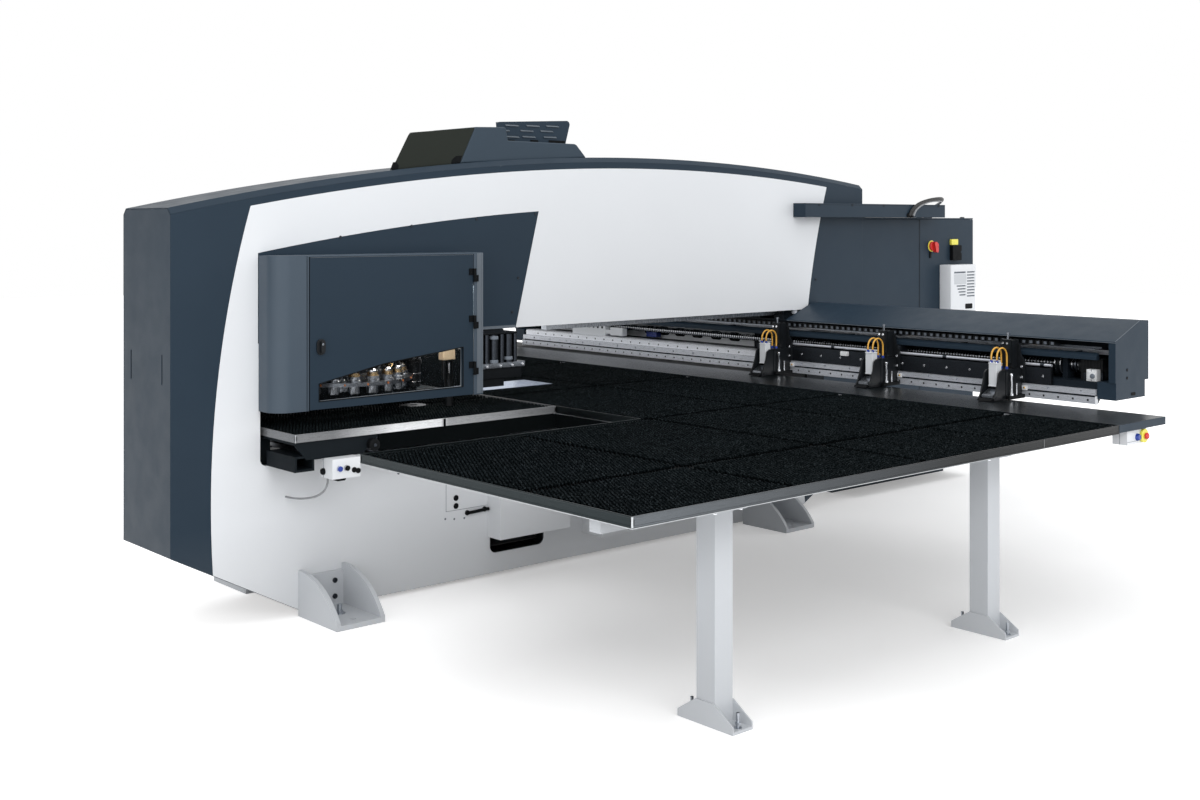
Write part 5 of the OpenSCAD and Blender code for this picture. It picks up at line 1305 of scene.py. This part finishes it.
def clamp_details():
    """One clamp is set out at the first place and copied to the others."""
    y = CLAMPS[0]
    others = [(0, clamp_y - y, 0) for clamp_y in CLAMPS]

    def three(name, parts, finish, bevel=0.0, **rest):
        assemble(name, spread(joined(parts), others), finish, bevel, body="clamps", **rest)

    three("cylinder_bodies", [
        block(1.6500, 1.6995, y - 0.026, y + 0.026, 1.030, 1.152),
        block(1.6480, 1.6995, y - 0.028, y + 0.028, 1.152, 1.1595),
        block(1.6480, 1.6995, y - 0.028, y + 0.028, 1.026, 1.034)],
        WHITE, 0.003, segments=3, stands_for=("clamp_cylinders",))
    three("cylinder_tie_rods", [screw((px, py, 1.1595), (0, 0, 1), 0.006, 0.006, 10)
                                for px in (1.656, 1.692) for py in (y - 0.020, y + 0.020)],
          CHROME)
    three("hose_fittings", [turned([(0.0095, 0), (0.0095, 0.006), (0.007, 0.008), (0.007, 0.014)],
                                   (px, y + s * 0.018, z), (0, 0, 1), 12)
                            for px, z in ((1.665, 1.1598), (1.765, 1.1202)) for s in (-1, 1)],
          BLUE)
    # Black arms beside the cylinder, bracket plate on the rail side
    arm = [(1.585, 0.9665), (1.600, 0.9885), (1.628, 1.055), (1.640, 1.105), (1.660, 1.120), (1.700, 1.120),
           (1.700, 0.9665)]
    three("clamp_arms", [plate(arm, y + s * 0.047 - 0.005, y + s * 0.047 + 0.005) for s in (-1, 1)],
          GUARD, 0.0015, slot="dark_steel")
    three("clamp_soles", [plate([(1.560, 0.9535), (1.600, 0.9535), (1.600, 0.9655), (1.575, 0.9655)],
                                y - 0.045, y + 0.045),
                          block(1.7005, 1.8615, y - 0.075, y - 0.052, 0.9535, 0.975),
                          block(1.7005, 1.8615, y + 0.052, y + 0.075, 0.9535, 0.975)],
          MATT, 0.0015, slot="dark_steel")
    three("clamp_brackets", [
        plate(rounded([(y - 0.078, 1.045, 0.006), (y + 0.078, 1.045, 0.006), (y + 0.078, 1.170, 0.006),
                       (y + 0.040, 1.215, 0.008), (y + 0.034, 1.262, 0.006), (y - 0.046, 1.262, 0.006),
                       (y - 0.052, 1.200, 0.008), (y - 0.078, 1.165, 0.006)], 3), 1.8485, 1.8615, "X"),
        block(1.775, 1.800, y - 0.026, y + 0.026, 1.150, 1.285)],
        GUARD, 0.0015, slot="dark_steel")
    three("bracket_screws", [screw((1.8485, y + dy, z), (-1, 0, 0), 0.008, 0.007, 10)
                             for dy in (-0.062, 0.062) for z in (1.07, 1.13)] +
          [screw((1.775, y + dy, 1.262), (-1, 0, 0), 0.007, 0.006, 10) for dy in (-0.014, 0.014)],
          CHROME)
    foot = (1.735, y - 0.066, 0.9752)
    top = (1.735, y - 0.066, 1.085)
    three("clamp_rods", [rod((1.735, y - 0.066, 0.976), top, 0.0075, 18),
                         turned([(0.012, 0), (0.012, 0.010), (0.008, 0.014)], top, sides=18),
                         turned([(0.012, 0), (0.012, 0.012)], foot, sides=18),
                         rod((1.790, y - 0.064, 0.976), (1.790, y - 0.064, 1.040), 0.005, 14)],
          CHROME)
    three("upper_pins", [rod((1.787, y - 0.010, 1.285), (1.787, y - 0.010, 1.315), 0.006, 14),
                         turned([(0.010, 0), (0.010, 0.008)], (1.787, y - 0.010, 1.3140), sides=14)],
          RING_STEEL)
    three("shoe_blocks", [block(1.8535, 1.8605, y - 0.092, y - 0.058, 0.998, 1.024),
                          block(1.8535, 1.8605, y + 0.058, y + 0.092, 0.998, 1.024)],
          PALE_PLASTIC, 0.002)
    three("shoe_tips", [turned([(0.006, 0), (0.006, 0.003), (0.004, 0.005)], (1.8535, y + s * 0.075, 1.011),
                               (-1, 0, 0), 12) for s in (-1, 1)], BRASS)
    # Guide rod between the clamps and small sensor blocks on the bar
    assemble("clamp_rod_long", [rod((1.8785, -2.245, 1.146), (1.8785, -0.055, 1.146), 0.0085, 20)],
             BRIGHT_Y, body="clamps")
    collars = [turned([(0.014, 0), (0.014, 0.020), (0.012, 0.022)], (1.8785, yy, 1.146), (0, 1, 0), 20)
               for yy in (-2.2, -1.55, -0.70, -0.10)]
    assemble("rod_collars", collars, DARK_STEEL, body="clamps")
    sensors = [block(1.838, 1.8615, -0.830, -0.775, 1.100, 1.128),
               block(1.838, 1.8615, -1.945, -1.880, 1.095, 1.125)]
    assemble("bar_sensors", sensors, PALE_PLASTIC, 0.003, body="clamps")
    places = [-2.2 + 0.16 * k for k in range(13)]
    screws = spread(screw((0, 0, 0), (-1, 0, 0), 0.007, 0.004, 10),
                    [(1.862, place, 1.085) for place in places
                     if min(abs(place - c) for c in CLAMPS) > 0.09])
    assemble("bar_screws", screws, CHROME, body="clamps")


def head_right():
    """Lifting unit on the right of the head cover, and the steel insert of the table beyond it."""
    housing = [block(-0.7298, -0.485, -0.420, -0.2735, 1.190, 1.345),
               block(-0.7298, -0.485, -0.300, -0.2735, 1.190, 1.3615),
               block(-0.7298, -0.500, -0.440, -0.300, 1.345, 1.356)]
    assemble("lift_housing", housing, INNER, 0.003)
    pipes = [rod((x, -0.430, 1.192), (x, -0.430, 1.344), r, 24)
             for x, r in ((-0.702, 0.012), (-0.652, 0.020), (-0.600, 0.013), (-0.555, 0.019),
                          (-0.510, 0.011))]
    assemble("lift_pipes", pipes, DARK_STEEL)
    collars = [turned([(0.024, 0), (0.024, 0.014), (0.021, 0.017)], (x, -0.430, z), sides=24)
               for x, z in ((-0.652, 1.192), (-0.652, 1.320), (-0.555, 1.206))]
    assemble("lift_collars", collars, SHADOW_GREY, 0.001)
    bar = [block(-0.7298, -0.430, -0.420, -0.330, 1.160, 1.190)]
    assemble("lift_bar", bar, RING_STEEL, 0.003)
    lower = [block(-0.7298, -0.450, -0.412, -0.335, 1.105, 1.160),
             block(-0.7298, -0.560, -0.400, -0.330, 1.060, 1.105)]
    assemble("lift_guard", lower, INNER, 0.003, slot="dark_steel")
    bolts = [screw((x, -0.420, 1.175), (0, -1, 0), 0.008, 0.006) for x in (-0.69, -0.60, -0.52, -0.45)]
    assemble("lift_screws", bolts, CHROME)
    insert = [block(-0.240, 0.300, 0.230, 0.520, 0.9320, 0.9524)]
    assemble("table_insert", insert, TABLE_STEEL, 0.0006, segments=1)
    screws = spread(turned([(0.008, 0), (0.008, 0.0002), (0.006, 0.0003)], (0, 0, 0), sides=14),
                    [(x, y, 0.9524) for x in (-0.21, 0.03, 0.27) for y in (0.26, 0.49)])
    assemble("insert_screws", screws, DARK_STEEL)
    # Dark tray that runs on from the far side plates under the beam
    apron = [plate([(1.7418, 0.9420), (2.080, 0.9420), (2.080, 0.9000), (2.076, 0.9000), (2.076, 0.9380),
                    (1.7418, 0.9380)], -0.300, 2.960)]
    apron += [block(1.7418, 2.076, y, y + 0.006, 0.905, 0.938)
              for y in (-0.29, 0.30, 0.95, 1.60, 2.25, 2.90)]
    assemble("far_apron", apron, INNER)


frame_details()
hoods()
head_outside()
head_inside()
head_right()
table_details()
boxes()
cabinet_details()
beam_details()
clamp_details()

bpy.context.scene.view_settings.view_transform = "Standard"
bpy.context.view_layer.update()
